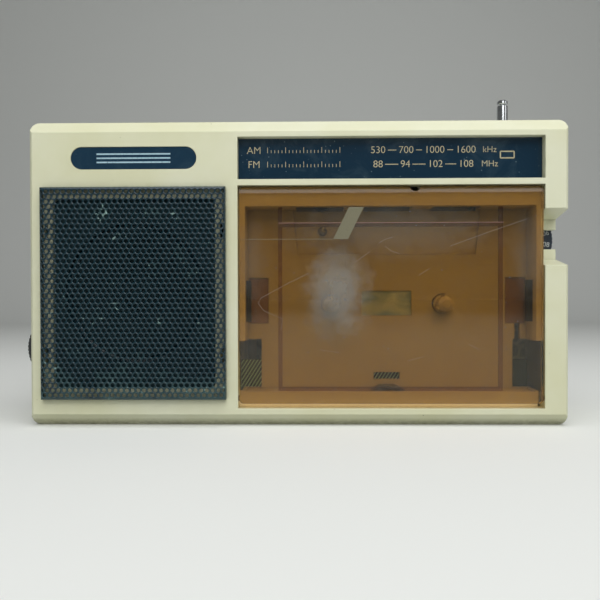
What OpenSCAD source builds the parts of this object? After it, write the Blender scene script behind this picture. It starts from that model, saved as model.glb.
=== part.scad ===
// Portable radio cassette player: speaker on the left, cassette deck on the right, keys on top.
// The front faces -Y. The origin is the middle of the base.

/* [Cabinet] */
// Width of the cabinet
body_w = 196; // [192:1:210]
// Depth of the cabinet, front face to back
body_d = 50; // [49:1:58]
// Height of the cabinet
body_h = 112; // [111:1:120]
// Depth of the front half, to the split line
front_d = 13; // [12.6:0.2:13.4]
// Thickness of the moulded walls
wall = 2.2; // [1.8:0.1:2.6]
// Bevel along the top and bottom front edges
edge_bevel = 4.5; // [3:0.5:5.5]
// Bevel along the top and bottom rear edges
rear_bevel = 3; // [1:0.5:4]
// Bevel of the upright front and rear edges
side_bevel = 1; // [0.4:0.2:2]
// Radius of the four corners, seen from the front
corner_r = 2.2; // [1:0.2:4]
// Distance of the cabinet screws from the top and the base
screw_inset_z = 6.7; // [6.4:0.1:7]

/* [Speaker] */
// Cabinet left of the grille
left_margin = 5; // [4:0.5:8]
// Upright between the grille and the cassette door
mullion = 4.6; // [4.2:0.2:6]
// Height of the grille's lower edge above the base
grille_bottom = 10.5; // [9:0.5:12]
// Height of the grille
grille_h = 76.4; // [72:0.2:78]
// How far the grille stands out of the front
grille_proud = 3; // [2:0.2:4]
// Thickness of the grille's sheet
grille_sheet = 0.8; // [0.6:0.1:1]
// Spacing of the grille's holes
hole_pitch = 2.04; // [2:0.04:3]
// Diameter of the grille's holes
hole_d = 1.4; // [1:0.1:1.6]
// Width of the cabinet ledge behind the grille's edge
grille_ledge = 3.6; // [3:0.2:5]
// Distance of the speaker's flange from the grille's edges
speaker_margin = 4.8; // [3.6:0.2:8]
// Width of the name plate
plate_w = 46; // [36:1:56]
// Height of the name plate
plate_h = 8.2; // [6:0.2:9]
// Depth of the name plate's recess
plate_t = 0.8; // [0.6:0.1:1.2]
// Height of the name plate's middle above the grille
plate_rise = 11.1; // [9:0.1:13]

/* [Dial] */
// Height of the dial window
dial_h = 15.4; // [12:0.2:16]
// Bar between the dial and the cassette door
dial_gap = 2.2; // [1.8:0.1:3]
// How far the dial panel lies behind the front
dial_recess = 3.5; // [2:0.1:3.6]
// Thickness of the dial panel
dial_t = 1.5; // [1:0.1:1.8]
// Overlap of the dial panel behind its window
dial_lip = 1; // [0.6:0.1:1.4]

/* [Cassette door] */
// Cabinet right of the door
right_column = 8.5; // [8:0.1:10]
// Width of the door opening
door_w = 111.3; // [110:0.1:114]
// Height of the door opening
door_h = 81.3; // [80:0.1:82]
// Height of the opening's lower edge above the base
bottom_rail = 6.6; // [6:0.1:8]
// Thickness of the door
door_t = 2.5; // [2.4:0.1:2.6]
// How far the door lies behind the front
door_recess = 0.5; // [0.3:0.1:0.6]
// Gap at the sides and the top of the door
door_gap = 0.5; // [0.4:0.1:0.8]
// Gap below the door, where its lower edge swings
door_foot_gap = 1.7; // [1.6:0.1:2.2]
// Radius of the hinge pins
hinge_r = 1; // [0.8:0.1:1.1]
// Distance of the finger notch right of the door's middle
door_notch_x = 9; // [-20:1:20]
// Radius of the finger notch
door_notch_r = 1.8; // [1.4:0.1:3]
// Height of the bevel on the door's top edge
door_bevel_h = 2.3; // [1:0.1:3]
// Depth of the bevel on the door's top edge
door_bevel_d = 1; // [0.4:0.1:1.4]

/* [Cassette well] */
// Width of the well
well_w = 106.5; // [104:0.1:107]
// Height of the well
well_h = 68.6; // [67:0.1:69]
// Height of the well above the door opening's lower edge
well_rise = 5.4; // [5:0.1:6]
// Depth of the well's floor behind the front
floor_d = 14.5; // [14:0.1:14.8]
// Wall of the well
well_wall = 1.6; // [1.2:0.1:1.6]
// Distance between the two reel spindles
spindle_pitch = 42.5; // [42:0.1:43]
// Height of the spindles above the well's lower edge
spindle_rise = 32.5; // [31:0.1:33]

/* [Wheels] */
// Height of the finger notch
notch_h = 20.8; // [18:0.2:24]
// Height of the finger notch's middle above the base
notch_z = 68.8; // [64:0.2:72]
// How much each side of the notch closes in towards its back
notch_taper = 2.8; // [1:0.1:4]
// Height of the slot that shows the tuning wheel
notch_slot = 7.4; // [6:0.2:10]
// Radius of the tuning wheel
tuning_r = 15; // [14:0.1:15.4]
// Thickness of the tuning wheel
tuning_t = 4; // [3:0.1:4.4]
// How far the tuning wheel stands out of the side
tuning_proud = 0.4; // [0.2:0.1:1.5]
// Radius of the volume wheel
volume_r = 13; // [12:0.1:13.4]
// Thickness of the volume wheel
volume_t = 4.5; // [4:0.1:4.6]
// How far the volume wheel stands out of the side
volume_proud = 4.5; // [3.5:0.1:5.5]
// Height of the volume wheel's axis above the base
volume_z = 28.1; // [26:0.1:30]

/* [Keys and switches] */
// Width of a key
key_w = 16; // [14:0.2:16.2]
// Spacing of the keys
key_pitch = 17; // [16.8:0.1:17.2]
// Length of a key, front to back
key_d = 12; // [10:0.5:13]
// Height of the keys' front edge above the top
key_proud = 2.4; // [2:0.1:3]
// Rise of a key's top from front to back
key_slope = 1.8; // [1:0.1:3]
// Travel of the keys and of the head plate
key_travel = 6; // [5:0.1:6]
// Height of a switch knob above the top
knob_proud = 2.4; // [1.5:0.1:3]

/* [Antenna] */
// Radius of the antenna's outer tube
antenna_r = 2.2; // [2.1:0.05:2.4]
// Height of the outer tube above the top
antenna_proud = 15.4; // [10:0.2:20]
// Distance of the antenna from the back
antenna_inset_y = 8.5; // [7:0.1:8.6]
// Distance of the antenna from the right side
antenna_inset_x = 11.9; // [11:0.1:12.5]

/* [Battery bay] */
// Length of the bay, for one cell and its contacts
bay_w = 62; // [60:0.5:64]
// Height of the bay, for four cells
bay_h = 62; // [60:0.5:64]
// Depth of the bay, for one cell
bay_d = 17; // [16:0.2:17.4]
// Thickness of the battery cover
cover_t = 1.8; // [1.4:0.1:2]

/* [Hidden] */
$fn = 48;

cream = [0.85, 0.86, 0.76];
black = [0.09, 0.1, 0.11];
navy = [0.1, 0.14, 0.19];
amber = [0.45, 0.33, 0.17, 0.6];
steel = [0.72, 0.73, 0.74];
brass = [0.76, 0.62, 0.32];
chrome = [0.86, 0.87, 0.88];
board_green = [0.2, 0.36, 0.2];

// Clearance between solids that move past each other, and of a shaft in its bush
gap = 0.4;
run = 0.06;
// A cut starts this far outside what it cuts
over = 0.1;

y_front = -body_d / 2;
y_back = body_d / 2;
y_split = y_front + front_d;
x_side = body_w / 2;
function at(depth) = y_front + depth;

// Places on the front
door_x1 = x_side - right_column;
door_x0 = door_x1 - door_w;
deck_x = (door_x0 + door_x1) / 2;
door_z0 = bottom_rail;
door_z1 = door_z0 + door_h;
dial_z0 = door_z1 + dial_gap;
dial_z1 = dial_z0 + dial_h;
grille_x0 = left_margin - x_side;
grille_w = door_x0 - mullion - grille_x0;
grille_x = grille_x0 + grille_w / 2;
grille_z = grille_bottom + grille_h / 2;
speaker_r = min(grille_w, grille_h) / 2 - speaker_margin;
plate_z = grille_bottom + grille_h + plate_rise;

// The frame behind the front wall, round the dial and the door
frame_d = 5.4;
frame_wall = 2.2;

// The hinge at the door's lower edge
panel_z0 = door_z0 + door_foot_gap;
panel_z1 = door_z1 - door_gap;
hinge_z = panel_z0 + 1.9;
hinge_y = at(door_recess + door_t / 2);
hinge_reach = 1.6;

// The well
well_x0 = deck_x - well_w / 2;
well_x1 = deck_x + well_w / 2;
well_z0 = door_z0 + well_rise;
well_z1 = well_z0 + well_h;
rim_t = 1.5;
rim_y = at(frame_d);
lip_y = at(door_recess + door_t + 0.3);
floor_y = at(floor_d);
floor_t = 2;
floor_back = floor_y + floor_t;
head_slot_w = 18;
head_slot_pitch = 25.5;
spindle_z = well_z0 + spindle_rise;
takeup_x = deck_x - spindle_pitch / 2;
supply_x = deck_x + spindle_pitch / 2;

// The mechanism, in layers behind the well
plate_y = floor_back + 2;
mech_t = 1;
plate_back = plate_y + mech_t;
reel_r = 12;
reel_y = plate_back + 0.7;
reel_t = 2;
shaft_r = 1.5;
roller_r = 4.5;
roller_z = well_z1 + 3.5;
capstan_r = 1;
capstan_dx = 24.5;
capstan_x = deck_x - capstan_dx;
capstan_z = roller_z - key_travel - roller_r - capstan_r - 0.3;
pinion_r = 4;
flywheel_r = 17;
flywheel_y = plate_back + 3.7;
flywheel_t = 4.2;
belt_y = flywheel_y + flywheel_t / 2;
bracket_y = flywheel_y + flywheel_t + 0.6;
wheel_gap = 0.3;
drive_dx = takeup_x - capstan_x;
drive_dz = spindle_z - capstan_z;
drive_span = sqrt(drive_dx * drive_dx + drive_dz * drive_dz);
idler_r = (drive_span - pinion_r - reel_r) / 2 - wheel_gap;
idler_step = (pinion_r + wheel_gap + idler_r) / drive_span;
idler_x = capstan_x + drive_dx * idler_step;
idler_z = capstan_z + drive_dz * idler_step;
motor_r = 12;
motor_dx = 32.2;
motor_x = deck_x + motor_dx;
motor_z = well_z1 + well_wall + motor_r + 0.8;
pulley_r = 3.5;
groove = 0.9;

// The head plate, above the well
head_y0 = floor_back + gap;
head_t = 1;
head_z0 = well_z1 + 3.9;
head_z1 = well_z1 + 16.9;
shelf_z = well_z1 + 10;
shelf_t = 1.2;
reach_y0 = rim_y + rim_t + 0.5;
reach_y1 = floor_y - 0.6;
stud_z = head_z0 + 3.5;
stud_r = 1.2;
stud_xs = [deck_x - 17.8, deck_x + 10];

// The keys
key_y0 = at(16);
key_y1 = key_y0 + key_d;
key_low = body_h - 8;
key_names_x = [for (i = [0:3]) deck_x - 43 + i * key_pitch];
key_flange = 0.8;

// The wheels and their axes
tuning_x = x_side + tuning_proud - tuning_r;
tuning_y = floor_back + gap;
notch_z0 = notch_z - notch_h / 2;
notch_z1 = notch_z + notch_h / 2;
notch_x0 = door_x1 + 1.2;
notch_wall = 1.6;
volume_x = volume_r - x_side - volume_proud;
volume_y = y_split - 0.5 - volume_t;
axle_r = 2.5;
axle_seat = 4;

// The battery bay
bay_wall = 1.6;
bay_x0 = 12 - x_side;
bay_x1 = bay_x0 + bay_w;
bay_z0 = 8;
bay_z1 = bay_z0 + bay_h;
bay_y0 = y_back - wall + 0.2 - bay_d;
cover_lip = 1.4;
cells = 4;
cell_pitch = bay_h / cells;

// The board, carried by posts on the back wall
board_t = 1.6;
board_y = y_back - wall - 10.8;
board_back = board_y + board_t;
board_x0 = bay_x1 + bay_wall + 4.4;
board_x1 = x_side - 4;
board_z0 = 12;
board_z1 = body_h - 12;
post_r = 3;
post_xs = [board_x0 + 6, board_x1 - 16];
post_zs = [board_z0 + 6, board_z1 - 6];

// Screw places, shared by both cabinet halves
boss_r = 3.5;
screw_inset_x = wall + boss_r - 0.8;
pilot_r = 1.3;
screw_r = 1.24;
screw_zs = [screw_inset_z, body_h - screw_inset_z];
screw_places = [for (sx = [-1, 1], z = screw_zs) [sx * (x_side - screw_inset_x), z]];
screw_seat_y = y_split + 8;

// The antenna
antenna_x = x_side - antenna_inset_x;
antenna_y = y_back - antenna_inset_y;
antenna_z0 = 14;
antenna_z1 = body_h + antenna_proud;
tube_wall = 0.4;

// The jacks and the switches
jack_y = y_back - 23;
jack_zs = [bay_z1 + 8.6, bay_z1 + 21.6];
switch_y = y_back - 21.5;
function_x = grille_x - 0.24 * grille_w;
band_x = grille_x + 0.24 * grille_w;

module block(x0, x1, y0, y1, z0, z1) {
  translate([x0, y0, z0]) cube([x1 - x0, y1 - y0, z1 - z0]);
}

// An outline in (y, z), drawn out along X
module bar_x(x0, x1) {
  translate([x0, 0, 0]) rotate([90, 0, 90]) linear_extrude(x1 - x0) children();
}

// An outline in (x, z), drawn out along Y
module slab_y(y0, y1) {
  translate([0, y1, 0]) rotate([90, 0, 0]) linear_extrude(y1 - y0) children();
}

module rod_x(y, z, x0, x1, r) {
  translate([x0, y, z]) rotate([0, 90, 0]) cylinder(h = x1 - x0, r = r);
}

module rod_y(x, z, y0, y1, r) {
  translate([x, y1, z]) rotate([90, 0, 0]) cylinder(h = y1 - y0, r = r);
}

module rod_z(x, y, z0, z1, r) {
  translate([x, y, z0]) cylinder(h = z1 - z0, r = r);
}

// A profile in (radius, y), turned about an axis along Y
module turned_y(x, z) {
  translate([x, 0, z]) rotate([-90, 0, 0]) rotate_extrude() children();
}

module rounded_rect(w, h, r) {
  square([w - 2 * r, h], center = true);
  square([w, h - 2 * r], center = true);
  for (sx = [-1, 1], sz = [-1, 1])
    translate([sx * (w / 2 - r), sz * (h / 2 - r)]) circle(r);
}

// The cabinet's section in (y, z), drawn in by an inset
module cabinet_section(inset) {
  turn = inset * tan(22.5);
  polygon([
    [y_front + inset, edge_bevel + turn],
    [y_front + edge_bevel + turn, inset],
    [y_back - rear_bevel - turn, inset],
    [y_back - inset, rear_bevel + turn],
    [y_back - inset, body_h - rear_bevel - turn],
    [y_back - rear_bevel - turn, body_h - inset],
    [y_front + edge_bevel + turn, body_h - inset],
    [y_front + inset, body_h - edge_bevel - turn]
  ]);
}

// The cabinet's plan in (x, y), with its upright edges bevelled
module cabinet_plan() {
  polygon([
    [-x_side, y_front + side_bevel],
    [side_bevel - x_side, y_front],
    [x_side - side_bevel, y_front],
    [x_side, y_front + side_bevel],
    [x_side, y_back - side_bevel],
    [x_side - side_bevel, y_back],
    [side_bevel - x_side, y_back],
    [-x_side, y_back - side_bevel]
  ]);
}

module cabinet_form() {
  intersection() {
    bar_x(-x_side, x_side) cabinet_section(0);
    linear_extrude(body_h) cabinet_plan();
    slab_y(y_front, y_back) translate([0, body_h / 2]) rounded_rect(body_w, body_h, corner_r);
  }
}

module cabinet_hollow() {
  bar_x(wall - x_side, x_side - wall) cabinet_section(wall);
}

// The finger notch in (y, z), from the front to a depth
module notch_section(depth) {
  taper = notch_taper * depth / front_d;
  polygon([
    [y_front - over, notch_z0],
    [at(depth), notch_z0 + taper],
    [at(depth), notch_z1 - taper],
    [y_front - over, notch_z1]
  ]);
}

// Groove round the cabinet where the two halves meet
seam = 0.4;

module front_cabinet() {
  color(cream) difference() {
    intersection() {
      cabinet_form();
      union() {
        difference() {
          block(-x_side, x_side, y_front, y_split, 0, body_h);
          cabinet_hollow();
        }
        block(door_x0 - frame_wall, door_x1 + frame_wall, y_front, at(frame_d), 0, body_h);
        block(notch_x0 - notch_wall, x_side, y_front, y_split, notch_z0 - wall, notch_z1 + wall);
        for (p = screw_places)
          rod_y(p[0], p[1], y_front, y_split, boss_r);
      }
    }
    slab_y(y_front - over, at(wall) + over) translate([grille_x, grille_z])
      rounded_rect(grille_w - 2 * grille_ledge, grille_h - 2 * grille_ledge, 2);
    grille_tabs(gap / 2);
    slab_y(y_front - over, at(plate_t)) name_plate_outline(0);
    block(door_x0, door_x1, y_front - over, at(frame_d) + 1, dial_z0, dial_z1);
    block(door_x0 - dial_lip, door_x1 + dial_lip, at(dial_recess), at(frame_d) + 1,
      dial_z0 - dial_lip, dial_z1 + dial_lip);
    block(door_x0, door_x1, y_front - over, at(frame_d) + 1, door_z0, door_z1);
    rod_x(hinge_y, hinge_z, door_x0 - hinge_reach - 0.2, door_x1 + hinge_reach + 0.2, hinge_r + run);
    bar_x(notch_x0, x_side + over) notch_section(front_d + over);
    bar_x(door_x1 - over, notch_x0 + over) notch_section(frame_d);
    block(-x_side - over, wall - x_side + over, volume_y - gap, y_split + over,
      volume_z - volume_slot / 2, volume_z + volume_slot / 2);
    for (p = screw_places)
      rod_y(p[0], p[1], y_split - 9, y_split + over, pilot_r);
    difference() {
      block(-x_side - over, x_side + over, y_split - seam, y_split + over, -over, body_h + over);
      slab_y(y_split - seam - over, y_split + 2 * over) translate([0, body_h / 2])
        rounded_rect(body_w - 2 * seam, body_h - 2 * seam, corner_r);
    }
  }
}

// Height of a slot in which a wheel of a radius, standing out by a length, turns clear
function slot_for(r, proud) = 2 * sqrt(r * r - (r - proud - wall) * (r - proud - wall)) + 2 * gap;
volume_slot = slot_for(volume_r, volume_proud);
tuning_slot = slot_for(tuning_r, tuning_proud);

module rear_cabinet() {
  color(cream) difference() {
    intersection() {
      cabinet_form();
      union() {
        difference() {
          block(-x_side, x_side, y_split, y_back, 0, body_h);
          cabinet_hollow();
        }
        block(bay_x0 - bay_wall, bay_x1 + bay_wall, bay_y0 - bay_wall, y_back,
          bay_z0 - bay_wall, bay_z1 + bay_wall);
        block(notch_x0 - notch_wall, x_side, y_split, y_split + wall, notch_z0, notch_z1);
        for (p = screw_places)
          rod_y(p[0], p[1], y_split, y_back, boss_r);
        for (x = post_xs, z = post_zs)
          rod_y(x, z, board_back, y_back, post_r);
        for (p = volume_posts)
          rod_y(p[0], p[1], volume_board_y + board_t, bay_y0, post_r - 0.5);
      }
    }
    block(bay_x0, bay_x1, bay_y0, y_back + over, bay_z0, bay_z1);
    block(bay_x0 - cover_lip, bay_x1 + cover_lip, y_back - cover_t, y_back + over,
      bay_z0 - cover_lip, bay_z1 + cover_lip);
    for (p = screw_places) {
      rod_y(p[0], p[1], y_split - over, y_back, screw_r + 0.3);
      rod_y(p[0], p[1], screw_seat_y, y_back + over, 3);
    }
    for (x = post_xs, z = post_zs)
      rod_y(x, z, board_back - over, y_back - wall, pilot_r);
    for (p = volume_posts)
      rod_y(p[0], p[1], volume_board_y, bay_y0 - bay_wall, pilot_r);
    block(notch_x0 - notch_wall - over, x_side + over, y_split - over, tuning_y,
      notch_z - notch_slot / 2, notch_z + notch_slot / 2);
    block(x_side - wall - over, x_side + over, tuning_y - gap, tuning_y + tuning_t + gap,
      notch_z - tuning_slot / 2, notch_z + tuning_slot / 2);
    block(key_names_x[0] - key_w / 2 - gap, key_names_x[3] + key_w / 2 + gap, key_y0 - gap, key_y1 + gap,
      body_h - wall - over, body_h + over);
    switch_slot(function_x, function_travel);
    switch_slot(band_x, band_travel);
    rod_z(antenna_x, antenna_y, body_h - wall - over, body_h + over, antenna_r + gap);
    for (z = jack_zs)
      rod_x(jack_y, z, -x_side - over, wall - x_side + over, jack_sleeve_r + run);
  }
}

// The steel grille: a pan with bevelled edges, perforated in staggered rows
grille_edge = 1.4;
grille_border = 1.6;
row_pitch = hole_pitch * sqrt(3) / 2;
grille_cols = floor((grille_w - 2 * grille_border - hole_d) / hole_pitch) + 1;
grille_rows = floor((grille_h - 2 * grille_border - hole_d) / row_pitch) + 1;

module grille_form(inset) {
  y0 = y_front - grille_proud + inset;
  w = grille_w / 2 - inset;
  h = grille_h / 2 - inset;
  e = grille_edge - inset * tan(22.5);
  intersection() {
    slab_y(y0, y_front) translate([grille_x, grille_z]) rounded_rect(2 * w, 2 * h, 2.4 - inset);
    bar_x(grille_x - w, grille_x + w)
      polygon([[y_front, grille_z - h], [y_front, grille_z + h], [y0 + e, grille_z + h],
        [y0, grille_z + h - e], [y0, grille_z - h + e], [y0 + e, grille_z - h]]);
    linear_extrude(body_h)
      polygon([[grille_x - w, y_front], [grille_x - w, y0 + e], [grille_x - w + e, y0],
        [grille_x + w - e, y0], [grille_x + w, y0 + e], [grille_x + w, y_front]]);
  }
}

module grille_tabs(room) {
  for (sx = [-1, 1], dz = [-0.3, 0.3])
    translate([grille_x + sx * (grille_w / 2 - 1.2), 0, grille_z + dz * grille_h])
      block(-0.4 - room, 0.4 + room, y_front - grille_sheet, at(wall + 1.2), -2.5 - room, 2.5 + room);
}

module speaker_grille() {
  flat_w = grille_w - 2 * grille_edge;
  flat_h = grille_h - 2 * grille_edge;
  y0 = y_front - grille_proud;
  color(black) union() {
    difference() {
      grille_form(0);
      grille_form(grille_sheet);
      slab_y(y0 - over, y0 + grille_sheet + over) translate([grille_x, grille_z])
        square([flat_w, flat_h], center = true);
    }
    slab_y(y0, y0 + grille_sheet) translate([grille_x, grille_z]) difference() {
      square([flat_w, flat_h], center = true);
      for (j = [0:grille_rows - 1], i = [0:grille_cols - 1 - j % 2])
        translate([(i - (grille_cols - 1 - j % 2) / 2) * hole_pitch, (j - (grille_rows - 1) / 2) * row_pitch])
          circle(d = hole_d);
    }
    grille_tabs(0);
  }
}

module name_plate_outline(inset) {
  r = plate_h / 2 - inset;
  translate([grille_x, plate_z]) {
    square([plate_w - plate_h, 2 * r], center = true);
    for (sx = [-1, 1])
      translate([sx * (plate_w - plate_h) / 2, 0]) circle(r);
  }
}

module name_plate() {
  color(navy) slab_y(y_front + 0.15, at(plate_t)) name_plate_outline(0.12);
}

module dial_panel() {
  lip = dial_lip - 0.1;
  color(navy) block(door_x0 - lip, door_x1 + lip, at(dial_recess), at(dial_recess + dial_t), dial_z0 - lip,
    dial_z1 + lip);
}

// The loudspeaker, on a black board behind the front wall
board_d = 1.6;
cone_r = speaker_r - 2.5;
speaker_y = at(wall + board_d);
basket_r = cone_r * 0.54;
magnet_r = basket_r + 1;
coil_r = cone_r * 0.29;

module speaker_board() {
  w = speaker_r * 2 + 6;
  color(black) slab_y(at(wall), speaker_y) difference() {
    translate([grille_x, grille_z]) square([w, grille_h - 2 * grille_ledge + 4], center = true);
    translate([grille_x, grille_z]) circle(cone_r);
    for (sx = [-1, 1], dz = [-0.3, 0.3])
      translate([grille_x + sx * (grille_w / 2 - 1.2), grille_z + dz * grille_h])
        square([2.4, 7], center = true);
  }
}

module speaker_basket() {
  color(steel) difference() {
    turned_y(grille_x, grille_z)
      polygon([[cone_r - 1, speaker_y], [speaker_r, speaker_y], [speaker_r, speaker_y + 1.2],
        [cone_r - 2, speaker_y + 1.2], [basket_r, speaker_y + 10], [basket_r - 5, speaker_y + 10],
        [basket_r - 5, speaker_y + 9], [basket_r - 1, speaker_y + 9], [cone_r - 3, speaker_y + 1.2]]);
    for (a = [45:90:315])
      translate([grille_x, 0, grille_z]) rotate([0, a, 0])
        block(-basket_r / 3, basket_r / 3, speaker_y + 3, speaker_y + 8.4, basket_r - 3, speaker_r);
  }
}

module speaker_magnet() {
  color([0.25, 0.25, 0.26]) turned_y(grille_x, grille_z)
    polygon([[0, speaker_y + 10], [magnet_r, speaker_y + 10], [magnet_r, speaker_y + 15],
      [magnet_r - 2, speaker_y + 16.5], [0, speaker_y + 16.5]]);
}

module speaker_cone() {
  color(black) turned_y(grille_x, grille_z)
    polygon([[cone_r - 1.9, speaker_y], [cone_r - 1.9, speaker_y + 0.3], [cone_r - 3.6, speaker_y + 0.9],
      [coil_r, speaker_y + 8.2], [coil_r, speaker_y + 9.6], [coil_r - 1, speaker_y + 9.6],
      [coil_r - 1, speaker_y + 7], [coil_r / 2, speaker_y + 5.6], [0, speaker_y + 5], [0, speaker_y + 4.4],
      [coil_r / 2 + 0.2, speaker_y + 5], [coil_r - 0.6, speaker_y + 6.6], [cone_r - 4, speaker_y]]);
}

// The cassette well: a tray with a rim, hung behind the front's frame
trapezoid_z0 = well_z1 - 17.2;
trapezoid_low = 34;
trapezoid_high = 35.9;
tape_board_y = floor_back + 1.2;
tape_board_post_z = well_z0 + 4;
tape_board_posts = [deck_x - 26, deck_x + 26];
mech_posts = [for (x = [takeup_x - 20.6, supply_x + 7], z = [well_z0 + 14, well_z1 - 3.6]) [x, z]];
corner_hole_w = 5.2;
corner_hole_h = 19;
pocket_w = 7.6;
pocket_d = 1;

module cassette_well() {
  color(cream) difference() {
    union() {
      block(door_x0 - 2, well_x1 + well_wall, rim_y, rim_y + rim_t, door_z0 - 2.6, door_z1 + 1.7 - dial_lip);
      block(door_x0 + gap, door_x1 - gap, lip_y, rim_y + over, well_z0 + corner_hole_h, door_z1 - gap);
      block(well_x0 - well_wall, well_x1 + well_wall, rim_y, floor_back, well_z0 - well_wall,
        well_z1 + well_wall);
      for (p = mech_posts)
        rod_y(p[0], p[1], floor_y, plate_y, post_r);
      for (x = tape_board_posts)
        rod_y(x, tape_board_post_z, floor_y, tape_board_y, post_r);
    }
    block(well_x0, well_x1, lip_y - over, floor_y, well_z0, well_z1);
    for (i = [-1:1])
      translate([deck_x + i * head_slot_pitch, 0, 0])
        block(-head_slot_w / 2, head_slot_w / 2, rim_y + rim_t, floor_back + over, well_z1 - 0.6,
          well_z1 + well_wall + over);
    slab_y(floor_y - over, floor_y + 0.8)
      polygon([[deck_x - trapezoid_low, trapezoid_z0], [deck_x + trapezoid_low, trapezoid_z0],
        [deck_x + trapezoid_high, well_z1], [deck_x - trapezoid_high, well_z1]]);
    for (x = [takeup_x, supply_x])
      rod_y(x, spindle_z, floor_y - over, floor_back + over, 3.9);
    rod_y(capstan_x, capstan_z, floor_y - over, floor_back + over, capstan_r + 0.8);
    block(deck_x - 9.5, deck_x + 9.5, floor_y - over, floor_back + over, spindle_z - 4.5, spindle_z + 4.9);
    block(deck_x - 5, deck_x + 5, floor_y - over, floor_back + over, well_z0 + 3.5, well_z0 + 6.2);
    block(door_x0, well_x0 + corner_hole_w, rim_y - over, floor_back + over, well_z0 + 0.4,
      well_z0 + corner_hole_h);
    block(well_x1 - corner_hole_w, door_x1, rim_y - over, floor_back + over, well_z0 + 0.4,
      well_z0 + corner_hole_h);
    block(well_x1 - corner_hole_w + 0.8, well_x1 - corner_hole_w + 2.8, floor_y - over, floor_back + over,
      well_z0 + corner_hole_h - over, well_z0 + corner_hole_h + 6);
    for (x = [well_x0 + 0.4, well_x1 - 0.4 - pocket_w])
      block(x, x + pocket_w, floor_y - over, floor_y + pocket_d, spindle_z - 7.6, spindle_z + 10);
    rod_y(deck_x + door_notch_x, panel_z1, lip_y - over, rim_y + rim_t + over, door_notch_r);
    for (p = mech_posts)
      rod_y(p[0], p[1], floor_y + 1.4, plate_y + over, pilot_r);
    for (x = tape_board_posts)
      rod_y(x, tape_board_post_z, floor_y + 0.8, tape_board_y + over, pilot_r);
  }
}

module side_springs() {
  color(black) for (sx = [-1, 1])
    translate([deck_x + sx * well_w / 2, 0, spindle_z - 6.5]) linear_extrude(15.4)
      polygon([[0, rim_y + 1.8], [-sx * 1.7, rim_y + 2.8], [-sx * 1.7, rim_y + 5.4], [0, rim_y + 6.6]]);
}

module leaf_spring() {
  color(steel) slab_y(rim_y + 2.6, floor_y - 1)
    polygon([[deck_x - 6.5, well_z0], [deck_x - 3, well_z0 + 1.9], [deck_x + 3, well_z0 + 1.9],
      [deck_x + 6.5, well_z0], [deck_x + 5.6, well_z0], [deck_x + 2.8, well_z0 + 1.4],
      [deck_x - 2.8, well_z0 + 1.4], [deck_x - 5.6, well_z0]]);
}

// The door: a flat panel with a moulded frame inside, turning on two pins
window_w = 82;
window_h = 61.7;
window_z0 = well_z0 + 0.7;
rib_w = 1.5;
rib_reach = well_z1 - gap - window_z0 - window_h;

module cassette_door() {
  y0 = at(door_recess);
  y1 = y0 + door_t;
  px0 = door_x0 + door_gap;
  px1 = door_x1 - door_gap;
  color(amber) union() {
    difference() {
      slab_y(y0, y1) translate([deck_x, (panel_z0 + panel_z1) / 2])
        rounded_rect(px1 - px0, panel_z1 - panel_z0, 1.4);
      bar_x(px0 - over, px1 + over)
        polygon([[y0 - over, panel_z1 - door_bevel_h], [y0, panel_z1 - door_bevel_h],
          [y0 + door_bevel_d, panel_z1 + over], [y0 - over, panel_z1 + over]]);
      rod_y(deck_x + door_notch_x, panel_z1, y0 - over, y1 + over, door_notch_r);
    }
    slab_y(y1, y1 + 0.6) {
      for (x = [deck_x - window_w / 2, deck_x + window_w / 2 - rib_w])
        translate([x, window_z0]) square([rib_w, window_h + rib_reach]);
      for (z = [window_z0, window_z0 + window_h - rib_w])
        translate([deck_x - window_w / 2, z]) square([window_w, rib_w]);
    }
    rod_x(hinge_y, hinge_z, px0 - door_gap - hinge_reach, px0 + 1, hinge_r);
    rod_x(hinge_y, hinge_z, px1 - 1, px1 + door_gap + hinge_reach, hinge_r);
  }
}

// A reel spindle with three driving blades, its shaft and its reel table
module spindle(x) {
  tip = rim_y + 0.2;
  union() {
    turned_y(x, spindle_z)
      polygon([[0, tip], [1.6, tip], [2.8, tip + 1.4], [2.8, floor_y - 1.6], [3.6, floor_y - 1.6],
        [3.6, floor_y - 0.4], [shaft_r, floor_y - 0.4], [shaft_r, reel_y], [reel_r, reel_y],
        [reel_r, reel_y + reel_t], [2.4, reel_y + reel_t], [2.4, reel_y + reel_t + 0.4],
        [0, reel_y + reel_t + 0.4]]);
    for (a = [0:120:240])
      translate([x, 0, spindle_z]) rotate([0, a, 0])
        block(-0.6, 0.6, tip + 1.6, floor_y - 1, 0, 3.6);
  }
}

module takeup_spindle() {
  color([0.9, 0.88, 0.78]) spindle(takeup_x);
}

module supply_spindle() {
  color([0.9, 0.88, 0.78]) spindle(supply_x);
}

module capstan_flywheel() {
  y0 = flywheel_y;
  y1 = flywheel_y + flywheel_t;
  color(steel) turned_y(capstan_x, capstan_z)
    polygon([[0, rim_y + 0.4], [0.7, rim_y + 0.4], [capstan_r, rim_y + 1], [capstan_r, reel_y],
      [pinion_r, reel_y], [pinion_r, y0], [flywheel_r, y0], [flywheel_r, belt_y - 1.4],
      [flywheel_r - groove, belt_y - 1], [flywheel_r - groove, belt_y + 1], [flywheel_r, belt_y + 1.4],
      [flywheel_r, y1], [flywheel_r - 3, y1], [flywheel_r - 3, y1 - 1.4], [3, y1 - 1.4], [3, y1],
      [capstan_r, y1], [capstan_r, bracket_y + 0.8], [0, bracket_y + 0.8]]);
}

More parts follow.
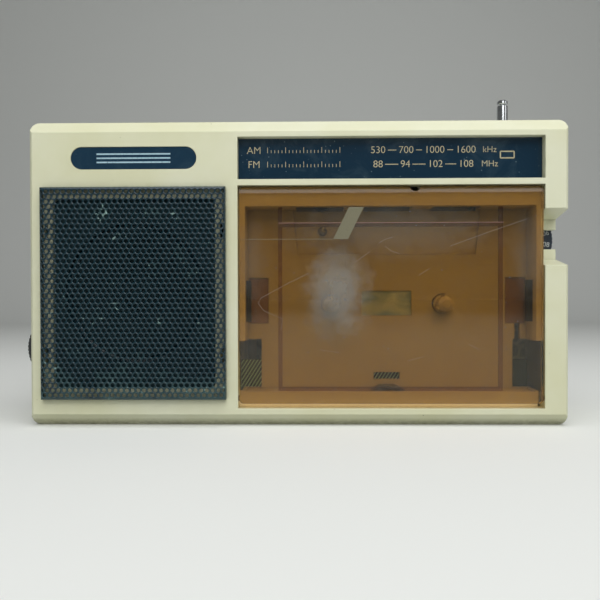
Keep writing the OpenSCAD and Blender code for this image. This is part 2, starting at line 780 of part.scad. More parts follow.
module flywheel_bracket() {
  leg = flywheel_r + groove + 2.3;
  color(steel) difference() {
    union() {
      slab_y(bracket_y, bracket_y + 1) translate([capstan_x, capstan_z]) {
        square([2 * leg, 9], center = true);
        circle(8);
        for (sx = [-1, 1])
          translate([sx * leg, 0]) circle(4.5);
      }
      for (sx = [-1, 1])
        rod_y(capstan_x + sx * leg, capstan_z, plate_back, bracket_y, 2);
    }
    rod_y(capstan_x, capstan_z, bracket_y - over, bracket_y + 1 + over, capstan_r + run);
  }
}

module idler_wheel() {
  color(black) turned_y(idler_x, idler_z)
    polygon([[capstan_r + run, reel_y], [idler_r, reel_y], [idler_r, reel_y + reel_t],
      [capstan_r + run, reel_y + reel_t]]);
}

module mechanism_plate() {
  x0 = mech_posts[0][0] - 4;
  x1 = mech_posts[3][0] + 4;
  motor_x0 = motor_x - motor_r - 2;
  plate_reach = 36;
  color(steel) difference() {
    union() {
      slab_y(plate_y, plate_back) {
        translate([x0, well_z0 + 11.6]) square([x1 - x0, well_h - 11.6 + 3.4]);
        translate([deck_x - plate_reach, well_z1])
          square([motor_x0 - deck_x + plate_reach + 1, head_z1 - well_z1 - 0.5]);
        translate([motor_x0, head_z0 + 1]) square([2 * motor_r + 4, 2 * motor_r - 1]);
      }
      for (x = [takeup_x, supply_x])
        rod_y(x, spindle_z, floor_back + gap, plate_back, 3.2);
      rod_y(capstan_x, capstan_z, floor_back + gap, plate_back, 2.6);
      rod_y(idler_x, idler_z, plate_back, reel_y + reel_t + 0.4, capstan_r);
      for (x = stud_xs)
        rod_y(x, stud_z, head_y0 - 0.2, plate_back, stud_r);
    }
    for (x = [takeup_x, supply_x])
      rod_y(x, spindle_z, floor_y, plate_back + over, shaft_r + run);
    rod_y(capstan_x, capstan_z, floor_y, plate_back + over, capstan_r + run);
    rod_y(motor_x, motor_z, plate_y - over, plate_back + over, pulley_r);
    for (p = mech_posts)
      rod_y(p[0], p[1], plate_y - over, plate_back + over, screw_r + 0.2);
  }
}

// The head plate slides down on two studs when the play key is pressed
module head_plate() {
  shelves = [[capstan_x, 5], [deck_x, 8]];
  pin_r = 0.8;
  color(steel) union() {
    difference() {
      block(deck_x - 33, deck_x + 16, head_y0, head_y0 + head_t, head_z0, head_z1);
      for (x = stud_xs)
        slab_y(head_y0 - over, head_y0 + head_t + over) translate([x, stud_z]) {
          circle(stud_r + 0.1);
          translate([-stud_r - 0.1, 0]) square([2 * stud_r + 0.2, key_travel]);
          translate([0, key_travel]) circle(stud_r + 0.1);
        }
    }
    for (s = shelves)
      block(s[0] - s[1], s[0] + s[1], reach_y0, head_y0 + over, shelf_z, shelf_z + shelf_t);
    for (y = [reach_y0, reach_y1 - 0.8])
      block(capstan_x - 2, capstan_x + 2, y, y + 0.8, roller_z - 1.7, shelf_z + over);
    rod_y(capstan_x, roller_z, reach_y0, reach_y1, pin_r);
  }
}

module tape_head() {
  y0 = reach_y0 + 0.4;
  y1 = reach_y1 - 0.5;
  z0 = well_z1 + 2.1;
  color(chrome) intersection() {
    block(deck_x - 6, deck_x + 6, y0, y1, z0, shelf_z);
    rod_y(deck_x, z0 + 9, y0, y1, 9);
  }
}

module pinch_roller() {
  y0 = reach_y0 + 1.1;
  y1 = reach_y1 - 1.1;
  color(black) turned_y(capstan_x, roller_z)
    polygon([[0.8 + run, y0], [roller_r, y0], [roller_r, y1], [0.8 + run, y1]]);
}

module motor() {
  y0 = rim_y + rim_t + 0.5;
  color(steel) difference() {
    turned_y(motor_x, motor_z)
      polygon([[0, y0], [motor_r - 1, y0], [motor_r, y0 + 1], [motor_r, plate_y], [3, plate_y],
        [3, plate_y + 0.6], [0, plate_y + 0.6]]);
    rod_y(motor_x, motor_z, plate_y - 4, plate_y + 1, capstan_r + run);
  }
}

module motor_pulley() {
  y0 = plate_y + 0.9;
  color(brass) turned_y(motor_x, motor_z)
    polygon([[0, plate_y - 3.6], [capstan_r, plate_y - 3.6], [capstan_r, y0], [2, y0], [2, belt_y - 2],
      [pulley_r, belt_y - 2], [pulley_r, belt_y - 1.4], [pulley_r - groove, belt_y - 1],
      [pulley_r - groove, belt_y + 1], [pulley_r, belt_y + 1.4], [pulley_r, belt_y + 2], [0, belt_y + 2]]);
}

module belt_loop(room) {
  hull() {
    translate([capstan_x, capstan_z]) circle(flywheel_r - groove + room, $fn = 96);
    translate([motor_x, motor_z]) circle(pulley_r - groove + room, $fn = 32);
  }
}

module drive_belt() {
  color(black) slab_y(belt_y - 0.6, belt_y + 0.6) difference() {
    belt_loop(1.4);
    belt_loop(0.4);
  }
}

// A key: a hollow cap with a flange that keeps it under the top
module key_cap(i) {
  x = key_names_x[i];
  top = body_h + key_proud;
  shell = 1.2;
  union() {
    difference() {
      union() {
        bar_x(x - key_w / 2, x + key_w / 2)
          polygon([[key_y0, key_low], [key_y0, top - 0.8], [key_y0 + 0.8, top], [key_y1, top + key_slope],
            [key_y1, key_low]]);
        block(x - key_w / 2, x + key_w / 2, key_y0 - key_flange, key_y1 + key_flange, key_low,
          body_h - wall - gap);
      }
      block(x - key_w / 2 + shell, x + key_w / 2 - shell, key_y0 + shell, key_y1 - shell, key_low - over,
        top - shell);
    }
    children();
  }
}

module key_rewind() {
  color(cream) key_cap(0);
}

// The play key's stem stands over the head plate
module key_play() {
  x = key_names_x[1];
  color(cream) key_cap(1)
    block(x - 4, x + 4, head_y0, key_y0 + 2.4, head_z1 + 0.3, key_low + 4);
}

module key_forward() {
  color(cream) key_cap(2);
}

module key_stop() {
  color(cream) key_cap(3);
}

module key_guide() {
  x0 = key_names_x[0] - key_w / 2 - gap;
  x1 = key_names_x[3] + key_w / 2 + gap;
  y0 = key_y0 - key_flange - gap;
  y1 = key_y1 + key_flange + gap;
  color(black) difference() {
    block(x0 - 1.2, x1 + 1.2, y0 - 1.2, y1 + 1.2, key_low - 4, body_h - wall);
    block(x0, x1, y0, y1, key_low - 4 - over, body_h - wall + over);
  }
}

module circuit_board() {
  color(board_green) difference() {
    block(board_x0, board_x1, board_y, board_back, board_z0, board_z1);
    for (x = post_xs, z = post_zs)
      rod_y(x, z, board_y - over, board_back + over, screw_r + 0.2);
  }
}

// The tape amplifier's board, close behind the lower part of the well
module tape_board() {
  color(board_green) difference() {
    block(door_x0 - 0.6, door_x1 - 1, tape_board_y, tape_board_y + board_t, bottom_rail - 2, well_z0 + 10.7);
    for (x = tape_board_posts)
      rod_y(x, tape_board_post_z, tape_board_y - over, tape_board_y + board_t + over, screw_r + 0.2);
  }
}

module amplifier_chip() {
  x = board_x0 + 40;
  z = board_z0 + 24;
  color(black) union() {
    block(x - 10, x + 10, board_back + 0.6, board_back + 4, z - 3.2, z + 3.2);
    for (i = [0:7], sz = [-1, 1])
      block(x - 9.2 + i * 2.54, x - 8.6 + i * 2.54, board_back, board_back + 2.4, z + sz * 3.5 - 0.4,
        z + sz * 3.5 + 0.4);
  }
}

can_w = 7;
can_h = 8;
can_pitch = 9;
can_x = board_x0 + 59.5;
can_z = board_z1 - 18.5;

module filter_cans() {
  color(chrome) for (i = [0:2])
    translate([can_x + i * can_pitch, board_back, can_z]) difference() {
      block(-can_w / 2, can_w / 2, 0, can_h, -can_w / 2, can_w / 2);
      rod_y(0, 0, can_h - 2, can_h + over, can_w / 4);
    }
}

module electrolytics() {
  color(navy) for (p = [[12, 44], [22, 44], [12, 56], [30, 62], [68, 40]])
    turned_y(board_x0 + p[0], board_z0 + p[1])
      polygon([[0, board_back], [3.6, board_back], [3.6, board_back + 0.8], [3.2, board_back + 1.4],
        [3.6, board_back + 2], [3.6, board_back + 8], [0, board_back + 8]]);
}

module tuning_capacitor() {
  color([0.88, 0.88, 0.84]) difference() {
    union() {
      block(tuning_x - 9.5, tuning_x + 9.5, board_y - 11, board_y, notch_z - 9.5, notch_z + 9.5);
      rod_y(tuning_x, notch_z, board_y - 12.4, board_y - 11, 4.5);
    }
    rod_y(tuning_x, notch_z, board_y - 12.4 - over, board_y - 12.4 + axle_seat, axle_r + run);
  }
}

// A thumbwheel with a fluted rim, on an axle that runs into its control
module thumbwheel(x, z, y0, t, r, axle_end) {
  flutes = 60;
  union() {
    difference() {
      turned_y(x, z)
        polygon([[0, y0], [r - 0.5, y0], [r, y0 + 0.5], [r, y0 + t - 0.5], [r - 0.5, y0 + t], [0, y0 + t]]);
      for (a = [0:360 / flutes:359])
        translate([x, 0, z]) rotate([0, a, 0]) translate([0, y0 + t + over, r + 0.25]) rotate([90, 0, 0])
          cylinder(h = t + 2 * over, r = 0.6, $fn = 4);
      turned_y(x, z)
        polygon([[axle_r + 1.5, y0 + t - 1.2], [r - 2, y0 + t - 1.2], [r - 2, y0 + t + over],
          [axle_r + 1.5, y0 + t + over]]);
    }
    rod_y(x, z, y0 + t - over, axle_end, axle_r);
  }
}

module tuning_wheel() {
  color(navy) thumbwheel(tuning_x, notch_z, tuning_y, tuning_t, tuning_r, board_y - 12.4 + axle_seat - 0.4);
}

// The volume control, on a small board that stands on the battery bay
volume_body_y = volume_y + volume_t + 0.7;
volume_body_t = 6;
volume_board_y = volume_body_y + volume_body_t;
volume_posts = [[volume_x + 9, volume_z - 6], [volume_x + 9, volume_z + 8]];

module volume_control() {
  color([0.3, 0.3, 0.32]) difference() {
    block(wall - x_side + 1, volume_x + 6, volume_body_y, volume_board_y, volume_z - 6.5, volume_z + 6.5);
    rod_y(volume_x, volume_z, volume_body_y - over, volume_body_y + axle_seat, axle_r + run);
  }
}

module volume_board() {
  color(board_green) difference() {
    block(wall - x_side + 0.5, volume_x + 13, volume_board_y, volume_board_y + board_t, volume_z - 10,
      volume_z + 12);
    for (p = volume_posts)
      rod_y(p[0], p[1], volume_board_y - over, volume_board_y + board_t + over, screw_r + 0.2);
  }
}

module volume_wheel() {
  color(black) thumbwheel(volume_x, volume_z, volume_y, volume_t, volume_r, volume_body_y + axle_seat - 0.4);
}

module ferrite_rod() {
  color([0.2, 0.2, 0.22]) rod_x(ferrite_y, ferrite_z, ferrite_x0, ferrite_x0 + ferrite_l, ferrite_r);
}

ferrite_r = 4;
ferrite_l = 54;
ferrite_x0 = bay_x0 + 6;
coil_x1 = ferrite_x0 + ferrite_l - 14;
ferrite_y = y_back - 11;
ferrite_z = bay_z1 + 14;

module ferrite_coil() {
  color(brass) difference() {
    rod_x(ferrite_y, ferrite_z, ferrite_x0 + 20, coil_x1, ferrite_r + 1.2);
    rod_x(ferrite_y, ferrite_z, ferrite_x0 + 19, coil_x1 + 1, ferrite_r);
  }
}

module ferrite_holder() {
  color(black) for (x = [ferrite_x0 + 6, ferrite_x0 + ferrite_l - 10])
    difference() {
      block(x, x + 4, ferrite_y - 6, ferrite_y + 6, bay_z1 + bay_wall, ferrite_z + 3);
      rod_x(ferrite_y, ferrite_z, x - over, x + 4 + over, ferrite_r);
    }
}

// Slide switches under the top, with knobs that reach through it
function_travel = 4;
band_travel = 2.5;
knob_stem = 2.4;

module switch_slot(x, travel) {
  block(x - travel - knob_stem / 2 - gap, x + travel + knob_stem / 2 + gap,
    switch_y - knob_stem / 2 - gap, switch_y + knob_stem / 2 + gap, body_h - wall - over, body_h + over);
}

module switch_body(x, travel) {
  z1 = body_h - wall;
  reach = travel + knob_stem / 2 + gap;
  difference() {
    block(x - reach - 1.6, x + reach + 1.6, switch_y - 4, switch_y + 4, z1 - 6, z1);
    block(x - reach, x + reach, switch_y - knob_stem / 2 - gap, switch_y + knob_stem / 2 + gap, z1 - 4,
      z1 + over);
  }
}

// The knob rests at its left end stop
module switch_knob(x, travel) {
  kx = x - travel;
  union() {
    block(kx - knob_stem / 2, kx + knob_stem / 2, switch_y - knob_stem / 2, switch_y + knob_stem / 2,
      body_h - wall - 3.5, body_h + 1);
    bar_x(kx - 3, kx + 3)
      polygon([[switch_y - 3.5, body_h + gap], [switch_y + 3.5, body_h + gap],
        [switch_y + 3.1, body_h + knob_proud], [switch_y - 3.1, body_h + knob_proud]]);
  }
}

module function_switch() {
  color(steel) switch_body(function_x, function_travel);
}

module function_knob() {
  color(black) switch_knob(function_x, function_travel);
}

module band_switch() {
  color(steel) switch_body(band_x, band_travel);
}

module band_knob() {
  color(black) switch_knob(band_x, band_travel);
}

// The two jacks in the left side, each with a sleeve through the wall
jack_sleeve_r = 4;
jack_l = 13;
earphone_r = 1.8;
power_r = 2.8;

module jack_body(z, bore) {
  x0 = -x_side;
  difference() {
    union() {
      block(x0 + wall, x0 + jack_l, jack_y - 4.5, jack_y + 4.5, z - 4.5, z + 4.5);
      rod_x(jack_y, z, x0, x0 + wall + over, jack_sleeve_r);
    }
    rod_x(jack_y, z, x0 - over, x0 + jack_l - 1, bore);
  }
}

module earphone_jack() {
  color(black) jack_body(jack_zs[0], earphone_r);
}

module power_jack() {
  color(black) union() {
    jack_body(jack_zs[1], power_r);
    rod_x(jack_y, jack_zs[1], 1 - x_side, jack_l - 0.5 - x_side, 1);
  }
}

// A tapering coil spring along X: one tube of six sides
function coil_point(turn, r0, r1, turns, pitch) =
  let (share = turn / turns, r = r0 + (r1 - r0) * share)
  [turn * pitch, r * cos(360 * turn), r * sin(360 * turn)];

module coil_spring(r0, r1, turns, pitch, wire) {
  sides = 6;
  steps = 12 * turns;
  points = [for (i = [0:steps], j = [0:sides - 1])
    let (turn = i / 12, a = 360 * turn, b = 360 * j / sides)
    coil_point(turn, r0, r1, turns, pitch) + wire * [sin(b), cos(b) * cos(a), cos(b) * sin(a)]];
  walls = [for (i = [0:steps - 1], j = [0:sides - 1])
    let (a = i * sides + j, b = i * sides + (j + 1) % sides)
    each [[a, b, a + sides], [b, b + sides, a + sides]]];
  ends = [[for (j = [sides - 1:-1:0]) j], [for (j = [0:sides - 1]) steps * sides + j]];
  polyhedron(points, concat(walls, ends));
}

contact_t = 0.5;
spring_turns = 4;
spring_pitch = 1.8;
spring_wire = 0.35;
echo(least_gap_between_spring_turns = spring_pitch - 2 * spring_wire);

module battery_contacts() {
  color(chrome) for (i = [0:cells - 1]) {
    z = bay_z0 + (i + 0.5) * cell_pitch;
    block(bay_x0, bay_x0 + contact_t, bay_y0 + 2, bay_y0 + bay_d - 4, z - 5, z + 5);
    block(bay_x1 - contact_t, bay_x1, bay_y0 + 2, bay_y0 + bay_d - 4, z - 5, z + 5);
  }
}

module battery_springs() {
  color(steel) for (i = [0:cells - 1])
    translate([i % 2 == 0 ? bay_x0 + contact_t + spring_wire : bay_x1 - contact_t - spring_wire,
      bay_y0 + bay_d / 2 - 1, bay_z0 + (i + 0.5) * cell_pitch])
      rotate([0, i % 2 == 0 ? 0 : 180, 0]) coil_spring(4.4, 2.4, spring_turns, spring_pitch, spring_wire);
}

module battery_cover() {
  inset = cover_lip - 0.3;
  grip_z = bay_z1 - 5;
  middle = (bay_x0 + bay_x1) / 2;
  color(cream) difference() {
    union() {
      block(bay_x0 - inset, bay_x1 + inset, y_back - cover_t, y_back, bay_z0 - inset, bay_z1 + inset);
      for (x = [middle - 22, middle + 16])
        block(x, x + 6, y_back - cover_t - 3, y_back - cover_t + over, bay_z0 + 0.3, bay_z0 + 1.7);
      block(middle - 5, middle + 5, y_back - cover_t - 4, y_back - cover_t + over, bay_z1 - 1.5,
        bay_z1 - 0.3);
    }
    for (i = [0:4])
      block(middle - 9, middle + 9, y_back - 0.6, y_back + over, grip_z - i * 2, grip_z - i * 2 + 1);
  }
}

// The antenna: four sections that run inside each other
section_two_r = antenna_r - tube_wall - run;
section_three_r = section_two_r - tube_wall - run;
rod_r = section_three_r - tube_wall - run;

module section_tube(r, z0, z1) {
  difference() {
    rod_z(antenna_x, antenna_y, z0, z1, r);
    rod_z(antenna_x, antenna_y, z0 + 1, z1 + over, r - tube_wall);
  }
}

module antenna_tube() {
  color(chrome) section_tube(antenna_r, antenna_z0, antenna_z1);
}

module antenna_section_two() {
  color(chrome) section_tube(section_two_r, antenna_z0 + 1.4, antenna_z1 + 0.15);
}

module antenna_section_three() {
  color(chrome) section_tube(section_three_r, antenna_z0 + 2.8, antenna_z1 + 0.3);
}

module antenna_rod() {
  cap_z = antenna_z1 + 0.7;
  color(chrome) union() {
    rod_z(antenna_x, antenna_y, antenna_z0 + 4.2, cap_z + over, rod_r);
    translate([antenna_x, antenna_y, 0]) rotate_extrude()
      polygon([[0, cap_z], [antenna_r - 0.3, cap_z], [antenna_r, cap_z + 0.3], [antenna_r, cap_z + 1.2],
        [antenna_r - 0.5, cap_z + 1.7], [0, cap_z + 1.7]]);
  }
}

module antenna_clamp() {
  color(steel) for (z = [antenna_z0 + 4, board_z1 - 8])
    difference() {
      block(antenna_x - 4, antenna_x + 4, board_back, antenna_y + 3.4, z, z + 6);
      rod_z(antenna_x, antenna_y, z - over, z + 6 + over, antenna_r);
    }
}

module screw_y(x, z, y_head, length, way) {
  head = 2.6;
  y_tip = y_head + way * length;
  rod_y(x, z, min(y_head, y_tip), max(y_head, y_tip), screw_r);
  rod_y(x, z, min(y_head, y_head - way * 1.8), max(y_head, y_head - way * 1.8), head);
}

module cabinet_screws() {
  color(steel) for (p = screw_places)
    screw_y(p[0], p[1], screw_seat_y, 15, -1);
}

module mechanism_screws() {
  color(steel) for (p = mech_posts)
    screw_y(p[0], p[1], plate_back, 3.4, -1);
}

module board_screws() {
  color(steel) {
    for (x = post_xs, z = post_zs)
      screw_y(x, z, board_y, 7, 1);
    for (p = volume_posts)
      screw_y(p[0], p[1], volume_board_y, 7, 1);
    for (x = tape_board_posts)
      screw_y(x, tape_board_post_z, tape_board_y + board_t, 3.6, -1);
  }
}

front_cabinet();
rear_cabinet();
speaker_grille();
name_plate();
dial_panel();
speaker_board();
speaker_basket();
speaker_magnet();
speaker_cone();
cassette_well();
side_springs();
leaf_spring();
cassette_door();
takeup_spindle();
supply_spindle();
capstan_flywheel();
flywheel_bracket();
idler_wheel();
mechanism_plate();
head_plate();
tape_head();
pinch_roller();
motor();
motor_pulley();
drive_belt();
key_rewind();
key_play();
key_forward();
key_stop();
key_guide();
circuit_board();
tape_board();
amplifier_chip();
filter_cans();
electrolytics();
tuning_capacitor();
tuning_wheel();
ferrite_rod();
ferrite_coil();
ferrite_holder();
volume_board();
volume_control();
volume_wheel();
function_switch();
function_knob();
band_switch();
band_knob();
earphone_jack();
power_jack();
battery_contacts();
battery_springs();
battery_cover();
antenna_tube();
antenna_clamp();
antenna_section_two();
antenna_section_three();
antenna_rod();
cabinet_screws();
mechanism_screws();
board_screws();
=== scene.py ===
import math

import bmesh
import bpy
from mathutils import Matrix, Vector


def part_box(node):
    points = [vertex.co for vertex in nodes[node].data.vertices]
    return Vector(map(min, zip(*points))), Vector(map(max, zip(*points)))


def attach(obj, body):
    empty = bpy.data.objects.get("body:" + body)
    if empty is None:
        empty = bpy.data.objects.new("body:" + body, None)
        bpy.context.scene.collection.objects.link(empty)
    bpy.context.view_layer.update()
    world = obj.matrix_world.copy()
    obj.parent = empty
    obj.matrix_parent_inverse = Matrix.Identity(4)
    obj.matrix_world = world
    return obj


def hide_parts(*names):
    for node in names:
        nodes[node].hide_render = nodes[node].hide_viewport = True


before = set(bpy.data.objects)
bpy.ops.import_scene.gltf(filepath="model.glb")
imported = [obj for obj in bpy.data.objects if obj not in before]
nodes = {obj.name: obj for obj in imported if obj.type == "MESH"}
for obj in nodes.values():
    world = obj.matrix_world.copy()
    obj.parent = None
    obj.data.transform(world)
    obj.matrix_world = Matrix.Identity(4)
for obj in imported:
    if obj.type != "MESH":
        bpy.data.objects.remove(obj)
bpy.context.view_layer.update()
MM = 0.001


# The set: a sweep of pale paper under and behind the player, lit by a large soft box overhead, one above the
# camera and a weak one from the right. The bevelled top edge is the brightest line, as in the photograph.
def linear(code):
    """An sRGB hex colour as linear RGBA."""
    parts = [int(code[i:i + 2], 16) / 255 for i in (1, 3, 5)]
    return [c / 12.92 if c <= 0.04045 else ((c + 0.055) / 1.055) ** 2.4 for c in parts] + [1.0]


def add(tree, kind, sockets=None, **settings):
    """Adds a node: a socket, by name or number, takes a plain value or is linked to another node's output."""
    made = tree.nodes.new("ShaderNode" + kind)
    for key, value in settings.items():
        setattr(made, key, value)
    for key, value in (sockets or {}).items():
        if isinstance(value, bpy.types.NodeSocket):
            tree.links.new(value, made.inputs[key])
        else:
            made.inputs[key].default_value = value
    return made


def new_finish(name, sockets):
    """A material with one Principled shader, its node tree, and that shader."""
    made = bpy.data.materials.new(name)
    made.use_nodes = True
    shader = made.node_tree.nodes["Principled BSDF"]
    for key, value in sockets.items():
        shader.inputs[key].default_value = value
    return made, made.node_tree, shader


def show(name, mesh, finish):
    """A new object from a bmesh, at the origin of the row frame."""
    data = bpy.data.meshes.new(name)
    mesh.to_mesh(data)
    mesh.free()
    data.materials.append(finish)
    made = bpy.data.objects.new(name, data)
    bpy.context.scene.collection.objects.link(made)
    return made


def paper_sweep():
    """Matt backdrop paper with a faint mottle of its pulp, a few millimetres across."""
    made, tree, skin = new_finish("backdrop_paper", {"Roughness": 0.9, "Specular IOR Level": 0.2})
    place = add(tree, "TexCoord").outputs["Object"]
    pulp = add(tree, "TexNoise", {"Vector": place, "Scale": 1 / (6 * MM), "Detail": 2})
    tint = add(tree, "Mix", {0: pulp.outputs[0], 6: linear("#c6c8c5"), 7: linear("#cccecb")}, data_type="RGBA")
    # Seen by the camera, in gloss or through glass, the paper is paler than the light it throws back
    path = add(tree, "LightPath").outputs
    direct = add(tree, "Math", {0: path["Is Camera Ray"], 1: path["Is Glossy Ray"]}, operation="MAXIMUM")
    direct = add(tree, "Math", {0: direct.outputs[0], 1: path["Is Transmission Ray"]}, operation="MAXIMUM")
    seen = add(tree, "Mix", {0: direct.outputs[0], 6: tint.outputs[2], 7: linear("#e8eae7")}, data_type="RGBA")
    tree.links.new(seen.outputs[2], skin.inputs["Base Color"])
    return made


sweep_reach, sweep_front, sweep_back, sweep_r, sweep_top = 2.5, -4.0, 0.75, 0.35, 1.3
sweep_steps = 12
sweep_line = [(sweep_front, 0.0), (sweep_back, 0.0)]
for step in range(1, sweep_steps + 1):
    turn = math.radians(90 * step / sweep_steps)
    sweep_line.append((sweep_back + sweep_r * math.sin(turn), sweep_r * (1 - math.cos(turn))))
sweep_line.append((sweep_back + sweep_r, sweep_top))
mesh = bmesh.new()
edges = [[mesh.verts.new((x, y, z)) for x in (-sweep_reach, sweep_reach)] for y, z in sweep_line]
for a, b in zip(edges, edges[1:]):
    mesh.faces.new((a[0], a[1], b[1], b[0])).smooth = True
sweep = show("backdrop", mesh, paper_sweep())

# Each soft box by its place, what it is aimed at, its side in metres and its power in watts
soft_boxes = {
    "overhead": ((0.05, -0.32, 0.68), (0, 0, 0.05), 0.8, 4.9),
    "front": ((0.1, -1.1, 0.72), (0, 0, 0.06), 0.66, 3.7),
    "right": ((0.85, -0.45, 0.40), (0, 0, 0.06), 0.5, 0.9),
}
for name, (place, aim, side, power) in soft_boxes.items():
    lamp = bpy.data.lights.new("soft_box_" + name, "AREA")
    lamp.size = side
    lamp.energy = power
    holder = bpy.data.objects.new("soft_box_" + name, lamp)
    holder.location = place
    holder.rotation_euler = (Vector(aim) - Vector(place)).to_track_quat("-Z", "Y").to_euler()
    bpy.context.scene.collection.objects.link(holder)

room_colour, room_light = "#eef0ee", 0.17
world = bpy.data.worlds.new("room")
world.use_nodes = True
walls = world.node_tree.nodes["Background"]
walls.inputs["Color"].default_value = linear(room_colour)
walls.inputs["Strength"].default_value = room_light
bpy.context.scene.world = world
bpy.context.scene.view_settings.view_transform = "Standard"

# The camera stands a hand's length in front, a little right of the middle, at half the player's height.
photo_px, focal_px, nearest = 600, 650, 0.01
eye = Vector((4.7, -261.2, 48.9)) * MM
yaw, dip, roll = (math.radians(a) for a in (-0.93, 0.66, 0.14))
ahead = Vector((math.sin(yaw) * math.cos(dip), math.cos(yaw) * math.cos(dip), -math.sin(dip)))
side = Vector((math.cos(yaw), -math.sin(yaw), 0))
down = ahead.cross(side)
right = side * math.cos(roll) + down * math.sin(roll)
up = side * math.sin(roll) - down * math.cos(roll)
lens = bpy.data.cameras.new("camera")
lens.lens = lens.sensor_width * focal_px / photo_px
lens.clip_start = nearest
camera = bpy.data.objects.new("camera", lens)
camera.matrix_world = Matrix.Translation(eye) @ Matrix((right, up, -ahead)).transposed().to_4x4()
bpy.context.scene.collection.objects.link(camera)
bpy.context.scene.camera = camera


# The cabinet: two halves moulded in ivory ABS and screwed together from behind, with the cassette well bonded
# into the front one. It is old: the plastic is a little blotched, and soiling mixed with painted shade sits in
# its corners and edges.
def dress(finish, *names):
    """Gives CAD nodes a finish."""
    for name in names:
        nodes[name].data.materials.clear()
        nodes[name].data.materials.append(finish)


def moulded_abs(name, colour, blotch, dirt_and_shade, gloss, alone=False, lit_rim=None):
    """ABS from a spark-eroded mould: an even satin skin, soft edges, and painted shade mixed with soiling where a
    cloth can't reach.
    """
    made, tree, skin = new_finish(name, {"IOR": 1.53, "Specular IOR Level": 0.5})
    place = add(tree, "TexCoord").outputs["Object"]
    soft_edge = add(tree, "Bevel", {"Radius": 0.35 * MM}, samples=6).outputs[0]
    # Yellowing in patches a few centimetres across, and finer stains
    patches = add(tree, "TexNoise", {"Vector": place, "Scale": 1 / (38 * MM), "Detail": 4, "Roughness": 0.6})
    patch = add(tree, "MapRange", {0: patches.outputs[0], 1: 0.35, 2: 0.7, 3: 0.0, 4: 1.0})
    aged = add(tree, "Mix", {0: patch.outputs[0], 6: linear(colour), 7: linear(blotch)}, data_type="RGBA")
    if lit_rim:
        # Painted light: the well's front edge, just behind the door, is painted paler where light reaches it; its
        # colour, and the depths between which that fades
        lit_colour, lit_y, unlit_y = lit_rim
        deep = add(tree, "SeparateXYZ", {0: place}).outputs[1]
        rubbed = add(tree, "MapRange", {0: deep, 1: unlit_y, 2: lit_y, 3: 0.0, 4: 1.0})
        aged = add(tree, "Mix", {0: rubbed.outputs[0], 6: aged.outputs[2], 7: linear(lit_colour)}, data_type="RGBA")
    # Painted shade mixed with soiling in corners, its own and those beside other pieces, found by ambient
    # occlusion and broken up by a noise of about 2 mm
    shelter = add(tree, "AmbientOcclusion", {"Distance": 3.4 * MM}, samples=8, only_local=alone).outputs["AO"]
    crumbs = add(tree, "TexNoise", {"Vector": place, "Scale": 1 / (2.2 * MM), "Detail": 5, "Roughness": 0.7})
    corner_shade = add(tree, "MapRange", {0: shelter, 1: 0.8, 2: 0.25, 3: 0.0, 4: 1.0})
    shade_and_grime = add(tree, "Math", {0: corner_shade.outputs[0], 1: crumbs.outputs[0]}, operation="MULTIPLY")
    shaded_and_soiled = add(tree, "Mix", {0: shade_and_grime.outputs[0], 6: aged.outputs[2], 7: linear(dirt_and_shade)}, data_type="RGBA")
    # Dark specks about 0.4 mm across, in loose groups
    specks = add(tree, "TexVoronoi", {"Vector": place, "Scale": 1 / (5.5 * MM)})
    spot = add(tree, "MapRange", {0: specks.outputs["Distance"], 1: 0.055, 2: 0.03, 3: 0.0, 4: 1.0})
    group = add(tree, "MapRange", {0: patches.outputs[0], 1: 0.5, 2: 0.62, 3: 0.0, 4: 0.7})
    speck = add(tree, "Math", {0: spot.outputs[0], 1: group.outputs[0]}, operation="MULTIPLY")
    marked = add(tree, "Mix", {0: speck.outputs[0], 6: shaded_and_soiled.outputs[2], 7: linear(dirt_and_shade)}, data_type="RGBA")
    tree.links.new(marked.outputs[2], skin.inputs["Base Color"])
    # The mould's grain is about 0.2 mm, drawn at 0.4 mm so that it shows
    grain = add(tree, "TexNoise", {"Vector": place, "Scale": 1 / (0.4 * MM), "Detail": 3})
    dull = add(tree, "MapRange", {0: crumbs.outputs[0], 3: gloss - 0.08, 4: gloss + 0.1})
    tree.links.new(dull.outputs[0], skin.inputs["Roughness"])
    relief = add(tree, "Bump", {"Strength": 0.25, "Distance": 0.03 * MM, "Height": grain.outputs[0],
                                "Normal": soft_edge})
    tree.links.new(relief.outputs[0], skin.inputs["Normal"])
    return made


ivory_abs = moulded_abs("ivory_abs", "#dedfc4", "#d6d6b2", "#6d6a4a", 0.42)
dress(ivory_abs, "front_cabinet", "rear_cabinet")
well_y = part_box("cassette_well")[0].y
# The well's front edge is painted paler, standing in for the light that reaches it behind the door
well_abs = moulded_abs("well_abs", "#d4ceae", "#c9c098", "#5f5438", 0.5, alone=True,
                       lit_rim=("#f1ecda", well_y + 2 * MM, well_y + 7 * MM))
dress(well_abs, "cassette_well")


